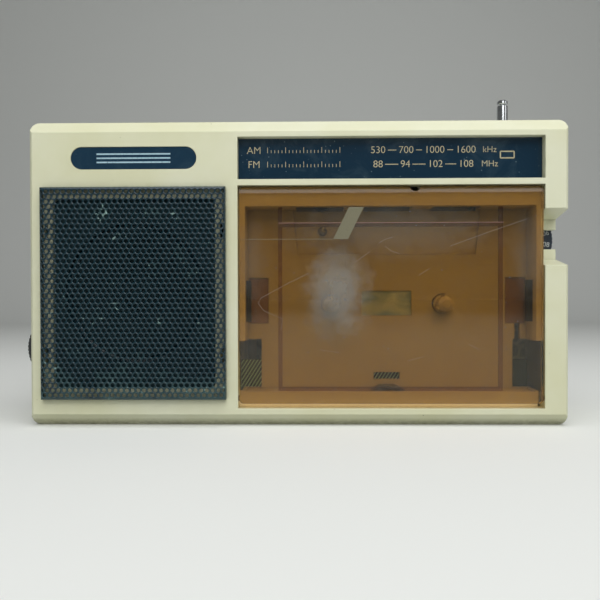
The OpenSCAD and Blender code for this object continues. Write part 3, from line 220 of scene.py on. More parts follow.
# The grille: one sheet of perforated steel with staggered round holes, its four edges bent back to the cabinet,
# painted black. The holes run up to the bends, as in sheet cut from stock, and their punched edges are round.
def black_enamel():
    """Thin stoved enamel on steel: satin, blue-black, with dust below and rubbed spots down to grey metal."""
    made, tree, skin = new_finish("black_enamel", {"Specular IOR Level": 0.45})
    place = add(tree, "TexCoord").outputs["Object"]
    spread = add(tree, "TexNoise", {"Vector": place, "Scale": 1 / (9 * MM), "Detail": 5, "Roughness": 0.65})
    height = add(tree, "SeparateXYZ", {0: place}).outputs[2]
    low = add(tree, "MapRange", {0: height, 1: 30 * MM, 2: 11 * MM, 3: 0.0, 4: 0.2})
    dusty = add(tree, "Math", {0: spread.outputs[0], 1: low.outputs[0]}, operation="ADD")
    dust = add(tree, "MapRange", {0: dusty.outputs[0], 1: 0.56, 2: 0.9, 3: 0.0, 4: 0.7})
    coat = add(tree, "Mix", {0: dust.outputs[0], 6: linear("#0a2b35"), 7: linear("#3a5a5a")}, data_type="RGBA")
    rubs = add(tree, "TexNoise", {"Vector": place, "Scale": 1 / (1.6 * MM), "Detail": 2})
    rub = add(tree, "Math", {0: rubs.outputs[0], 1: spread.outputs[0]}, operation="MULTIPLY")
    bare = add(tree, "MapRange", {0: rub.outputs[0], 1: 0.39, 2: 0.44, 3: 0.0, 4: 0.8})
    worn = add(tree, "Mix", {0: bare.outputs[0], 6: coat.outputs[2], 7: linear("#84a09a")}, data_type="RGBA")
    tree.links.new(worn.outputs[2], skin.inputs["Base Color"])
    dull = add(tree, "MapRange", {0: dust.outputs[0], 3: 0.22, 4: 0.75})
    tree.links.new(dull.outputs[0], skin.inputs["Roughness"])
    return made


hole_pitch, hole_r, bend_r, sheet_t, burr = 2.074 * MM, 0.73 * MM, 1.3 * MM, 0.55 * MM, 0.22 * MM
row_pitch = hole_pitch * math.sqrt(3) / 2
pan_low, pan_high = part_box("speaker_grille")
pan_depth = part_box("front_cabinet")[0].y - pan_low.y
mid_x, mid_z = (pan_low.x + pan_high.x) / 2, (pan_low.z + pan_high.z) / 2
# The bent edges spring out a little past the pan that was pressed
spring = 0.4 * MM
flat_x = (pan_high.x - pan_low.x) / 2 - bend_r + spring
flat_z = (pan_high.z - pan_low.z) / 2 - bend_r + spring
bend_l = bend_r * math.pi / 2
unfolded = bend_l + pan_depth - bend_r
# The last holes stand part of the way round the bend, and nothing is punched past them
last_hole = bend_l * 0.6
# Points round a hole, where a bend is divided, its corner notch, and how near points are welded or dissolved
points, bend_cuts, notch = 12, (0, 0.25, 0.5, 0.75, 1), bend_l * 0.8
weld, sliver = 0.01 * MM, 0.002 * MM


def bent(along, flat, inward):
    """Where a point of the flat sheet goes when its edge is bent back: (distance from the middle, depth)."""
    past = abs(along) - flat
    if past <= 0:
        return along, inward
    turn = min(past / bend_r, math.pi / 2)
    reach = flat + (bend_r - inward) * math.sin(turn)
    return math.copysign(reach, along), bend_r - (bend_r - inward) * math.cos(turn) + max(past - bend_l, 0)


mesh = bmesh.new()
rows, columns = int((flat_z + unfolded) / row_pitch) + 1, int((flat_x + unfolded) / hole_pitch) + 1
for row in range(-rows - 1, rows + 1):
    for column in range(-columns, columns + 1):
        cx, cz = (column + (row % 2) / 2) * hole_pitch, (row + 0.5) * row_pitch
        punched = abs(cx) < flat_x + last_hole and abs(cz) < flat_z + last_hole
        hole = ((hole_r + burr, 0), (hole_r, burr), (hole_r, sheet_t)) if punched else ()
        rings = [[] for _ in range(len(hole) + 2)]
        for k in range(points):
            turn = math.radians(360 * k / points)
            cell = hole_pitch / 2 if k % 2 == 0 else hole_pitch / math.sqrt(3)
            for ring, (reach, inward) in zip(rings, ((cell, 0), *hole, (cell, sheet_t))):
                ring.append(mesh.verts.new((cx + reach * math.cos(turn), inward, cz + reach * math.sin(turn))))
        if not punched:
            mesh.faces.new(rings[0])
            mesh.faces.new(rings[1][::-1])
            continue
        for front, back in zip(rings, rings[1:]):
            for k in range(points):
                n = (k + 1) % points
                mesh.faces.new((front[k], front[n], back[n], back[k]))
bmesh.ops.remove_doubles(mesh, verts=mesh.verts, dist=weld)
for axis, flat in (((1, 0, 0), flat_x), ((0, 0, 1), flat_z)):
    for way in (-1, 1):
        cuts = [flat + bend_l * part for part in bend_cuts]
        for cut in [*cuts, flat + unfolded]:
            bmesh.ops.bisect_plane(mesh, geom=[*mesh.verts, *mesh.edges, *mesh.faces],
                                   plane_co=Vector(axis) * way * cut, plane_no=Vector(axis) * way,
                                   clear_outer=cut > cuts[-1])
# The corners are notched, so that two bends can meet there
corner = [f for f in mesh.faces if abs(f.calc_center_median().x) > flat_x + notch
          and abs(f.calc_center_median().z) > flat_z + notch]
bmesh.ops.delete(mesh, geom=corner, context="FACES")
# The sheared edge, between the two faces of the sheet
sheared = [(e.link_loops[0].vert, e.link_loops[0].link_loop_next.vert) for e in mesh.edges if e.is_boundary]
behind = {(round(v.co.x / MM, 2), round(v.co.z / MM, 2)): v for pair in sheared for v in pair if v.co.y > 0}
for pair in sheared:
    twins = [behind.get((round(v.co.x / MM, 2), round(v.co.z / MM, 2))) for v in pair]
    if all(twins) and not any(v.co.y > 0 for v in pair):
        mesh.faces.new((pair[1], pair[0], *twins))
for v in mesh.verts:
    (x, depth_x), (z, depth_z) = bent(v.co.x, flat_x, v.co.y), bent(v.co.z, flat_z, v.co.y)
    v.co = (mid_x + x, pan_low.y + max(depth_x, depth_z), mid_z + z)
bmesh.ops.dissolve_degenerate(mesh, edges=mesh.edges, dist=sliver)
for f in mesh.faces:
    f.smooth = True
enamel = black_enamel()
grille = show("perforated_grille", mesh, enamel)
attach(grille, "cabinet")
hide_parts("speaker_grille")


# The loudspeaker: a pressed paper cone in a steel basket with a ferrite magnet, on a black fibre board.
# Only a dim ring of it shows through the grille.
def pressed_paper():
    """Felted black paper: matt, with ribs pressed in rings 2.5 mm apart about the speaker's axis."""
    made, tree, skin = new_finish("pressed_paper", {"Roughness": 0.95, "Specular IOR Level": 0.2})
    place = add(tree, "TexCoord").outputs["Object"]
    around = add(tree, "VectorMath", {0: place, 1: (mid_x, 0, mid_z)}, operation="SUBTRACT")
    flat = add(tree, "VectorMath", {0: around.outputs[0], 1: (1, 0, 1)}, operation="MULTIPLY")
    reach = add(tree, "VectorMath", {0: flat.outputs[0]}, operation="LENGTH")
    ring = add(tree, "Math", {0: reach.outputs["Value"], 1: 2 * math.pi / (2.5 * MM)}, operation="MULTIPLY")
    rib = add(tree, "Math", {0: ring.outputs[0]}, operation="SINE")
    felt = add(tree, "TexNoise", {"Vector": place, "Scale": 1 / (0.6 * MM), "Detail": 4})
    tint = add(tree, "Mix", {0: felt.outputs[0], 6: linear("#1f3034"), 7: linear("#2b3f44")}, data_type="RGBA")
    tree.links.new(tint.outputs[2], skin.inputs["Base Color"])
    relief = add(tree, "Bump", {"Strength": 0.5, "Distance": 0.3 * MM, "Height": rib.outputs[0]})
    tree.links.new(relief.outputs[0], skin.inputs["Normal"])
    return made


def fibre_board():
    """Black pressed board: matt, with a fine short fibre."""
    made, tree, skin = new_finish("fibre_board", {"Roughness": 0.9, "Specular IOR Level": 0.25})
    place = add(tree, "TexCoord").outputs["Object"]
    fibre = add(tree, "TexNoise", {"Vector": place, "Scale": 1 / (0.9 * MM), "Detail": 6, "Distortion": 1.5})
    tint = add(tree, "Mix", {0: fibre.outputs[0], 6: linear("#1e3237"), 7: linear("#2a4046")}, data_type="RGBA")
    tree.links.new(tint.outputs[2], skin.inputs["Base Color"])
    return made


def sintered_ferrite():
    """Ferrite: dark grey, hard and slightly glossy, with pits of about 1 mm."""
    made, tree, skin = new_finish("sintered_ferrite", {"Roughness": 0.5})
    place = add(tree, "TexCoord").outputs["Object"]
    pits = add(tree, "TexNoise", {"Vector": place, "Scale": 1 / (1 * MM), "Detail": 5})
    tint = add(tree, "Mix", {0: pits.outputs[0], 6: linear("#202123"), 7: linear("#35363a")}, data_type="RGBA")
    tree.links.new(tint.outputs[2], skin.inputs["Base Color"])
    relief = add(tree, "Bump", {"Strength": 0.3, "Distance": 0.1 * MM, "Height": pits.outputs[0]})
    tree.links.new(relief.outputs[0], skin.inputs["Normal"])
    return made


dress(pressed_paper(), "speaker_cone")
dress(fibre_board(), "speaker_board")
dress(enamel, "speaker_basket")
dress(sintered_ferrite(), "speaker_magnet", "ferrite_rod")


# The name plate: a small oblong of dark blue acrylic set in a recess. It carries no name; three plain pale
# stripes are printed across its middle.
def polished_acrylic(name, colour, dust):
    """Cast acrylic, painted behind: a deep, glossy colour under fine dust and smears."""
    made, tree, skin = new_finish(name, {"IOR": 1.49})
    place = add(tree, "TexCoord").outputs["Object"]
    smears = add(tree, "TexNoise", {"Vector": place, "Scale": 1 / (14 * MM), "Detail": 6, "Roughness": 0.7,
                                    "Distortion": 1.2})
    smear = add(tree, "MapRange", {0: smears.outputs[0], 1: 0.5, 2: 0.8, 3: 0.0, 4: 0.2})
    grains = add(tree, "TexVoronoi", {"Vector": place, "Scale": 1 / (2.2 * MM)})
    grain = add(tree, "MapRange", {0: grains.outputs["Distance"], 1: 0.11, 2: 0.06, 3: 0.0, 4: 1.0})
    field = add(tree, "MapRange", {0: smears.outputs[0], 1: 0.4, 2: 0.56, 3: 0.0, 4: 0.8})
    speck = add(tree, "Math", {0: grain.outputs[0], 1: field.outputs[0]}, operation="MULTIPLY")
    film = add(tree, "Math", {0: smear.outputs[0], 1: speck.outputs[0]}, operation="MAXIMUM")
    tint = add(tree, "Mix", {0: film.outputs[0], 6: linear(colour), 7: linear(dust)}, data_type="RGBA")
    tree.links.new(tint.outputs[2], skin.inputs["Base Color"])
    dull = add(tree, "MapRange", {0: film.outputs[0], 3: 0.08, 4: 0.5})
    tree.links.new(dull.outputs[0], skin.inputs["Roughness"])
    return made


def print_and_highlight_ink(name, colour, worn):
    """Screen-printed ink, also used for the painted highlight on the door's upper rib: thin, even and matt, with
    pinholes where it has worn.
    """
    made, tree, skin = new_finish(name, {"Roughness": 0.55})
    place = add(tree, "TexCoord").outputs["Object"]
    pinholes = add(tree, "TexNoise", {"Vector": place, "Scale": 1 / (0.5 * MM), "Detail": 3})
    hole = add(tree, "MapRange", {0: pinholes.outputs[0], 1: 0.56, 2: 0.7, 3: 0.0, 4: 0.8})
    tint = add(tree, "Mix", {0: hole.outputs[0], 6: linear(colour), 7: linear(worn)}, data_type="RGBA")
    tree.links.new(tint.outputs[2], skin.inputs["Base Color"])
    return made


ink_t = 0.02 * MM


def strip(mesh, line, width, face_y):
    """A flat ribbon along a line of (x, z) points, proud of a face that looks forward by the ink's thickness."""
    y = face_y - ink_t
    edges = []
    for i, (x, z) in enumerate(line):
        (xa, za), (xb, zb) = line[max(i - 1, 0)], line[min(i + 1, len(line) - 1)]
        across = Vector((zb - za, 0, xa - xb)).normalized() * width / 2
        edges.append([mesh.verts.new(Vector((x, y, z)) + across * way) for way in (-1, 1)])
    for a, b in zip(edges, edges[1:]):
        mesh.faces.new((a[0], a[1], b[1], b[0]))


dress(polished_acrylic("blue_acrylic", "#163347", "#54707a"), "name_plate")
plate_low, plate_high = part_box("name_plate")
plate_x, plate_z = (plate_low.x + plate_high.x) / 2, (plate_low.z + plate_high.z) / 2
stripe_l, stripe_w, stripe_pitch = 27 * MM, 0.55 * MM, 1.5 * MM
mesh = bmesh.new()
for k in (-1, 0, 1):
    z = plate_z + k * stripe_pitch
    strip(mesh, [(plate_x - stripe_l / 2, z), (plate_x + stripe_l / 2, z)], stripe_w, plate_low.y)
stripes = show("name_plate_stripes", mesh, print_and_highlight_ink("pale_blue_ink", "#a9c9d6", "#5a7a8c"))
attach(stripes, "cabinet")


# The dial: a strip of acrylic painted blue-black behind, glued into its recess, with two rows of scale numbers
# printed in gold. The words of such a scale are left to two plain letters each, and rows of ticks.
def lettering(mesh, words, size, turn, fine=0.008):
    """Adds words in Blender's own font to a mesh: centred, drawn finer by a share, then placed by a matrix."""
    curve = bpy.data.curves.new("letters", "FONT")
    curve.body = words
    curve.size = size
    curve.offset = -fine * size
    curve.align_x, curve.align_y = "CENTER", "CENTER"
    holder = bpy.data.objects.new("letters", curve)
    flat = holder.to_mesh()
    flat.transform(turn)
    mesh.from_mesh(flat)
    holder.to_mesh_clear()
    bpy.data.objects.remove(holder)
    bpy.data.curves.remove(curve)


def facing_front(x, z, face_y):
    """Stands flat letters up on a face that looks forward."""
    return Matrix.Translation((x, face_y - ink_t, z)) @ Matrix.Rotation(math.pi / 2, 4, "X")


dress(polished_acrylic("dial_acrylic", "#0e2b3e", "#5b767e"), "dial_panel")
face_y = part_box("dial_panel")[0].y
# The heights of figures and units, and half the width of a figure as a share of its height
figure_h, unit_h, figure_half = 3.7 * MM, 3.2 * MM, 0.28
# Each row by its height: its band, its unit, and its figures with their places in millimetres
scale_rows = {
    101.1 * MM: ("AM", "kHz", (("530", 29.6), ("700", 39.9), ("1000", 50.3), ("1600", 61.7))),
    95.9 * MM: ("FM", "MHz", (("88", 29.6), ("94", 39.6), ("102", 50.6), ("108", 61.8))),
}
dash_w, dash_gap, unit_x, band_x = 0.28 * MM, 0.5 * MM, 70.4 * MM, -16 * MM
tick_x0, tick_x1, tick_pitch, tick_w = -11 * MM, 15.6 * MM, 1.33 * MM, 0.2 * MM
tick_drop, tick_short, tick_long, long_every = 0.9 * MM, 1.1 * MM, 2.1 * MM, 5
mesh = bmesh.new()
for z, (band, unit, figures) in scale_rows.items():
    lettering(mesh, band, figure_h, facing_front(band_x, z, face_y))
    lettering(mesh, unit, unit_h, facing_front(unit_x, z, face_y))
    for tick in range(int((tick_x1 - tick_x0) / tick_pitch) + 1):
        x, foot = tick_x0 + tick * tick_pitch, z - tick_drop
        height = tick_short if tick % long_every else tick_long
        strip(mesh, [(x, foot), (x, foot + height)], tick_w, face_y)
    ends = []
    for figure, x in figures:
        lettering(mesh, figure, figure_h, facing_front(x * MM, z, face_y))
        half = figure_half * figure_h * len(figure)
        ends.append((x * MM - half, x * MM + half))
    for (_, start), (end, _) in zip(ends, ends[1:]):
        strip(mesh, [(start + dash_gap, z), (end - dash_gap, z)], dash_w, face_y)
# The frame round the tuning lamp
lamp_x, lamp_z, lamp_w, lamp_h, lamp_line = 76.8 * MM, 99.2 * MM, 5 * MM, 2.4 * MM, 0.45 * MM
lamp_x0, lamp_x1 = lamp_x - lamp_w / 2, lamp_x + lamp_w / 2
lamp_z0, lamp_z1 = lamp_z - lamp_h / 2, lamp_z + lamp_h / 2
for line in ([(lamp_x0, lamp_z0), (lamp_x1, lamp_z0)], [(lamp_x0, lamp_z1), (lamp_x1, lamp_z1)],
             [(lamp_x0, lamp_z0), (lamp_x0, lamp_z1)], [(lamp_x1, lamp_z0), (lamp_x1, lamp_z1)]):
    strip(mesh, line, lamp_line, face_y)
markings = show("dial_markings", mesh, print_and_highlight_ink("gold_ink", "#b8af8d", "#5f6058"))
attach(markings, "cabinet")


# The slips in the well: two of red-brown vulcanised fibre glued into its pockets, beside the black springs that
# steady the cassette, and one of blue-grey acrylic pressed into its window, with the mechanism behind it.
def vulcanised_fibre():
    """Hard red-brown fibre sheet: dull, cloudy, with a fine vertical grain."""
    made, tree, skin = new_finish("vulcanised_fibre", {"Roughness": 0.7, "Specular IOR Level": 0.3})
    place = add(tree, "TexCoord").outputs["Object"]
    drawn = add(tree, "VectorMath", {0: place, 1: (1, 1, 0.2)}, operation="MULTIPLY")
    grain = add(tree, "TexNoise", {"Vector": drawn.outputs[0], "Scale": 1 / (1.2 * MM), "Detail": 4})
    tint = add(tree, "Mix", {0: grain.outputs[0], 6: linear("#8d7464"), 7: linear("#ab8f7e")}, data_type="RGBA")
    tree.links.new(tint.outputs[2], skin.inputs["Base Color"])
    return made


def frosted_acrylic():
    """Blue-grey acrylic with a sanded back: a soft even sheen over pale rubs, drawn out sideways."""
    made, tree, skin = new_finish("frosted_acrylic", {"Roughness": 0.45, "IOR": 1.49})
    place = add(tree, "TexCoord").outputs["Object"]
    drawn = add(tree, "VectorMath", {0: place, 1: (0.5, 1, 1)}, operation="MULTIPLY")
    cloud = add(tree, "TexNoise", {"Vector": drawn.outputs[0], "Scale": 1 / (5 * MM), "Detail": 3})
    rub = add(tree, "MapRange", {0: cloud.outputs[0], 1: 0.3, 2: 0.7, 3: 0.0, 4: 1.0})
    tint = add(tree, "Mix", {0: rub.outputs[0], 6: linear("#7ba9d6"), 7: linear("#e6f6ff")}, data_type="RGBA")
    tree.links.new(tint.outputs[2], skin.inputs["Base Color"])
    return made


def slip(mesh, x0, x1, y0, y1, z0, z1, edge=0.08):
    """Adds a thin plate with softened edges, by its sides and its edges' width in millimetres."""
    middle = Vector((x0 + x1, y0 + y1, z0 + z1)) * MM / 2
    size = Vector((x1 - x0, y1 - y0, z1 - z0)) * MM
    made = bmesh.ops.create_cube(mesh, size=1, matrix=Matrix.Translation(middle) @ Matrix.Diagonal((*size, 1)))
    bmesh.ops.bevel(mesh, geom=list({e for v in made["verts"] for e in v.link_edges}), offset=edge * MM,
                    segments=2, affect="EDGES")


pads = bmesh.new()
pad_y, pad_z = (-9.85, -9.55), (37.1, 54.3)
for pad_x in ((-18.8, -11.6), (79.3, 86.5)):
    slip(pads, *pad_x, *pad_y, *pad_z)
pane = bmesh.new()
pane_x, pane_y, pane_z = (24.4, 43.3), (-9.9, -8.9), (40.05, 49.35)
slip(pane, *pane_x, *pane_y, *pane_z)
for name, mesh, finish in (("spring_pads", pads, vulcanised_fibre()), ("window_pane", pane, frosted_acrylic())):
    made = show(name, mesh, finish)
    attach(made, "cabinet")


# The tape mechanism: plated steel pressings with turned shafts, a heavy flywheel, rubber drive wheels and belt.
# Little of it shows, only what the holes in the well let through.
def plated_steel(name, colour, rough, brushed):
    """Zinc- or nickel-plated steel: soft reflections drawn out along the rolling direction, faint stains."""
    made, tree, skin = new_finish(name, {"Metallic": 1.0})
    place = add(tree, "TexCoord").outputs["Object"]
    drawn = add(tree, "VectorMath", {0: place, 1: brushed}, operation="MULTIPLY")
    lines = add(tree, "TexNoise", {"Vector": drawn.outputs[0], "Scale": 1 / (0.5 * MM), "Detail": 3})
    stain = add(tree, "TexNoise", {"Vector": place, "Scale": 1 / (7 * MM), "Detail": 4})
    tint = add(tree, "Mix", {0: stain.outputs[0], 6: linear(colour), 7: linear("#77756c")}, data_type="RGBA")
    tree.links.new(tint.outputs[2], skin.inputs["Base Color"])
    dull = add(tree, "MapRange", {0: lines.outputs[0], 3: rough - 0.08, 4: rough + 0.12})
    tree.links.new(dull.outputs[0], skin.inputs["Roughness"])
    soft_edge = add(tree, "Bevel", {"Radius": 0.15 * MM}, samples=4).outputs[0]
    relief = add(tree, "Bump", {"Strength": 0.15, "Distance": 0.02 * MM, "Height": lines.outputs[0],
                                "Normal": soft_edge})
    tree.links.new(relief.outputs[0], skin.inputs["Normal"])
    return made


def smooth_rubber():
    """Ground rubber: matt black-grey with a bloom in patches."""
    made, tree, skin = new_finish("smooth_rubber", {"Roughness": 0.8, "Specular IOR Level": 0.35})
    place = add(tree, "TexCoord").outputs["Object"]
    bloom = add(tree, "TexNoise", {"Vector": place, "Scale": 1 / (2 * MM), "Detail": 4})
    tint = add(tree, "Mix", {0: bloom.outputs[0], 6: linear("#141415"), 7: linear("#2a2a29")}, data_type="RGBA")
    tree.links.new(tint.outputs[2], skin.inputs["Base Color"])
    return made


zinc_steel = plated_steel("zinc_steel", "#b9bab4", 0.38, (1, 1, 0.05))
dress(zinc_steel, "mechanism_plate", "head_plate", "flywheel_bracket", "motor", "capstan_flywheel")
spring_steel = plated_steel("spring_steel", "#9c9d99", 0.3, (0.1, 1, 1))
dress(spring_steel, "leaf_spring")
bright_nickel = plated_steel("bright_nickel", "#d4d3cc", 0.2, (1, 1, 0.1))
dress(bright_nickel, "tape_head")
turned_brass = plated_steel("turned_brass", "#c39a4e", 0.3, (1, 0.1, 1))
dress(turned_brass, "motor_pulley")
dress(smooth_rubber(), "idler_wheel", "pinch_roller", "drive_belt")
natural_acetal = moulded_abs("natural_acetal", "#e6dfc6", "#ddd3b4", "#6b6044", 0.35)
dress(natural_acetal, "takeup_spindle", "supply_spindle")
black_abs = moulded_abs("black_abs", "#1d2022", "#26292b", "#4a4a44", 0.45)
dress(black_abs, "side_springs", "key_guide")


# The circuit boards: phenolic laminate, the tape amplifier's with green lacquer over a hatched copper ground that
# shows through the well's corner holes. The radio's board carries the tuner, its cans, coil and amplifier.
def lacquered_laminate():
    """Solder lacquer over slanting copper lines 1.15 mm apart, up to the bare right end: dark and pale green."""
    made, tree, skin = new_finish("lacquered_laminate", {"Roughness": 0.3, "IOR": 1.5})
    place = add(tree, "TexCoord").outputs["Object"]
    axes = add(tree, "SeparateXYZ", {0: place})
    # The lines are finer in life, and this coarse so that they show
    lean = math.radians(58)
    slant = add(tree, "VectorMath", {0: place, 1: (math.sin(lean), 0, -math.cos(lean))}, operation="DOT_PRODUCT")
    turns = add(tree, "Math", {0: slant.outputs["Value"], 1: 1 / (1.15 * MM)}, operation="MULTIPLY")
    part = add(tree, "Math", {0: turns.outputs[0]}, operation="FRACT")
    line = add(tree, "MapRange", {0: part.outputs[0], 1: 0.56, 2: 0.66, 3: 0.0, 4: 1.0})
    laid = add(tree, "MapRange", {0: axes.outputs[0], 1: 62 * MM, 2: 61.5 * MM, 3: 0.0, 4: 1.0})
    copper = add(tree, "Math", {0: line.outputs[0], 1: laid.outputs[0]}, operation="MULTIPLY")
    cloud = add(tree, "TexNoise", {"Vector": place, "Scale": 1 / (12 * MM), "Detail": 3})
    ground = add(tree, "Mix", {0: cloud.outputs[0], 6: linear("#033020"), 7: linear("#08442c")}, data_type="RGBA")
    tint = add(tree, "Mix", {0: copper.outputs[0], 6: ground.outputs[2], 7: linear("#c4ffe6")}, data_type="RGBA")
    tree.links.new(tint.outputs[2], skin.inputs["Base Color"])
    relief = add(tree, "Bump", {"Strength": 0.4, "Distance": 0.05 * MM, "Height": copper.outputs[0]})
    tree.links.new(relief.outputs[0], skin.inputs["Normal"])
    return made


def track_laminate():
    """Paper laminate under pale green lacquer, with a net of tracks a few millimetres apart."""
    made, tree, skin = new_finish("track_laminate", {"Roughness": 0.45, "IOR": 1.5})
    place = add(tree, "TexCoord").outputs["Object"]
    net = add(tree, "TexVoronoi", {"Vector": place, "Scale": 1 / (4.5 * MM)}, feature="DISTANCE_TO_EDGE")
    track = add(tree, "MapRange", {0: net.outputs["Distance"], 1: 0.12, 2: 0.09, 3: 0.0, 4: 1.0})
    paper = add(tree, "TexNoise", {"Vector": place, "Scale": 1 / (3 * MM), "Detail": 4})
    ground = add(tree, "Mix", {0: paper.outputs[0], 6: linear("#86a692"), 7: linear("#94b4a2")}, data_type="RGBA")
    tint = add(tree, "Mix", {0: track.outputs[0], 6: ground.outputs[2], 7: linear("#b4c8b4")}, data_type="RGBA")
    tree.links.new(tint.outputs[2], skin.inputs["Base Color"])
    return made


dress(lacquered_laminate(), "tape_board")
dress(track_laminate(), "circuit_board", "volume_board")
dress(bright_nickel, "filter_cans")
dress(turned_brass, "ferrite_coil")
dress(natural_acetal, "tuning_capacitor")
dress(black_abs, "ferrite_holder")
navy_abs = moulded_abs("navy_abs", "#152230", "#1b2a38", "#3c4648", 0.4)
dress(navy_abs, "electrolytics")
dress(moulded_abs("grey_abs", "#4a4b4d", "#55565a", "#26251f", 0.5), "volume_control")
dress(moulded_abs("epoxy_case", "#18191b", "#202124", "#3b3a36", 0.5), "amplifier_chip")


# The cassette door: a sheet of smoked amber acrylic with a bevelled top edge and moulded ribs behind. It is
# worn: a pale rubbed patch, dust, and hair scratches, over a printed line that ends in a slanted bar.
def amber_acrylic():
    """Tinted acrylic: clear amber that lets the lamps through, with a dull film where it was rubbed."""
    made, tree, skin = new_finish("amber_acrylic", {"IOR": 1.43, "Transmission Weight": 1.0, "Roughness": 0.02})
    place = add(tree, "TexCoord").outputs["Object"]
    # The ribs behind the sheet are darker, because the light goes through more of the plastic there
    depth = add(tree, "SeparateXYZ", {0: place}).outputs[1]
    rib = add(tree, "MapRange", {0: depth, 1: door_high.y - 0.6 * MM, 2: door_high.y - 0.5 * MM, 3: 0.0, 4: 1.0})
    tint = add(tree, "Mix", {0: rib.outputs[0], 6: linear("#b49e6a"), 7: linear("#74503a")}, data_type="RGBA")
    tree.links.new(tint.outputs[2], skin.inputs["Base Color"])
    lamps = add(tree, "BsdfTransparent", {"Color": linear("#e2ccb4")})
    shadow = add(tree, "LightPath").outputs["Is Shadow Ray"]
    clear = add(tree, "MixShader", {0: shadow, 1: skin.outputs[0], 2: lamps.outputs[0]})
    mottle = add(tree, "TexNoise", {"Vector": place, "Scale": 1 / (5 * MM), "Detail": 6, "Roughness": 0.7})
    # Rubbed patches, each by its middle and half its size in x and z, in millimetres, and its strength
    rubbed = (((14.5, 49.5), (16, 23), 0.3), ((84, 62), (11, 24), 0.08),
              ((-17, 60), (11, 24), 0.07), ((34, 71), (62, 16), 0.09))
    film = 0.0
    for (x, z), (half_x, half_z), strength in rubbed:
        away = add(tree, "VectorMath", {0: place, 1: Vector((x, 0, z)) * MM}, operation="SUBTRACT")
        across = (1 / (half_x * MM), 0, 1 / (half_z * MM))
        share = add(tree, "VectorMath", {0: away.outputs[0], 1: across}, operation="MULTIPLY")
        reach = add(tree, "VectorMath", {0: share.outputs[0]}, operation="LENGTH")
        ragged = add(tree, "Math", {0: mottle.outputs[0], 1: 1.1, 2: -0.55}, operation="MULTIPLY_ADD")
        edge = add(tree, "Math", {0: reach.outputs["Value"], 1: ragged.outputs[0]}, operation="ADD")
        patch = add(tree, "MapRange", {0: edge.outputs[0], 1: 1.0, 2: 0.0, 3: 0.0, 4: strength},
                    interpolation_type="SMOOTHSTEP")
        film = add(tree, "Math", {0: patch.outputs[0], 1: film}, operation="MAXIMUM").outputs[0]
    # A fine dust all over
    grains = add(tree, "TexVoronoi", {"Vector": place, "Scale": 1 / (3.2 * MM)})
    grain = add(tree, "MapRange", {0: grains.outputs["Distance"], 1: 0.075, 2: 0.05, 3: 0.0, 4: 0.55})
    field = add(tree, "MapRange", {0: mottle.outputs[0], 1: 0.44, 2: 0.56, 3: 0.0, 4: 1.0})
    speck = add(tree, "Math", {0: grain.outputs[0], 1: field.outputs[0]}, operation="MULTIPLY")
    haze = add(tree, "MapRange", {0: mottle.outputs[0], 1: 0.3, 2: 0.9, 3: 0.005, 4: 0.035})
    dusty = add(tree, "Math", {0: speck.outputs[0], 1: haze.outputs[0]}, operation="MAXIMUM")
    cover = add(tree, "Math", {0: dusty.outputs[0], 1: film}, operation="MAXIMUM")
    dull = add(tree, "BsdfPrincipled", {"Base Color": linear("#aab6bc"), "Roughness": 0.7})
    worn = add(tree, "MixShader", {0: cover.outputs[0], 1: clear.outputs[0], 2: dull.outputs[0]})
    tree.links.new(worn.outputs[0], tree.nodes["Material Output"].inputs["Surface"])
    return made


door_low, door_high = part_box("cassette_door")
door_y = door_low.y
dress(amber_acrylic(), "cassette_door")
line_z, line_x0, line_x1, line_w = 68.3 * MM, -20.9 * MM, 13 * MM, 0.17 * MM
bar_top_z, bar_w, bar_lean = 79.9 * MM, 5.4 * MM, 5.7 * MM
mesh = bmesh.new()
strip(mesh, [(line_x0, line_z), (line_x1, line_z)], line_w, door_y)
mesh.faces.new([mesh.verts.new((x, door_y - ink_t, z)) for x, z in (
    (line_x1, line_z), (line_x1 + bar_w, line_z), (line_x1 + bar_w + bar_lean, bar_top_z),
    (line_x1 + bar_lean, bar_top_z))])
# A painted highlight: a pale strip stands for the upper rib's rounded edge, which shines through the sheet as a
# thin line
rib_z, rib_x0, rib_x1, rib_w = 74.2 * MM, -7 * MM, 74.7 * MM, 0.17 * MM
painted_shine = bmesh.new()
strip(painted_shine, [(rib_x0, rib_z), (rib_x1, rib_z)], rib_w, door_y + ink_t / 2)
rib_highlight = show("door_rib_highlight", painted_shine, print_and_highlight_ink("painted_rib_highlight", "#9c7566", "#5f4334"))
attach(rib_highlight, "cassette_door")
bar = show("door_stripe", mesh, print_and_highlight_ink("buff_ink", "#747058", "#5d5944"))
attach(bar, "cassette_door")

# Scratches, each a line of (x, z) points in millimetres
scratch_w = 0.1 * MM
scratches = (
    ((55.3, 65.6), (70, 70.9), (83, 75.3)),
    ((31.8, 65.7), (34, 63.9), (37.1, 62.9)),
    ((29.5, 66.8), (32, 68.2), (34.7, 69)),
    ((21, 59.9), (26.3, 63.7)),
    ((44, 55), (48, 57.6)),
    ((4.2, 56), (-4, 52), (-13.4, 46.9), (-14.4, 45), (-12.3, 42.2), (-5.4, 39.3), (-6.1, 35.3)),
    ((40, 24), (46, 25.5)), ((62, 30), (66, 28)), ((8, 28), (15, 27)),
)
mesh = bmesh.new()
for line in scratches:
    strip(mesh, [(x * MM, z * MM) for x, z in line], scratch_w, door_y)
marks = show("door_scratches", mesh, print_and_highlight_ink("scratched_acrylic", "#8f877a", "#6f6450"))
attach(marks, "cassette_door")


# The keys: four piano keys of ivory ABS in a row in the top, held by the guide behind the dial and lifted by
# springs. Each has its sign printed on it in black, in the usual set: rewind, play, forward, stop.
dress(ivory_abs, "key_rewind", "key_play", "key_forward", "key_stop")
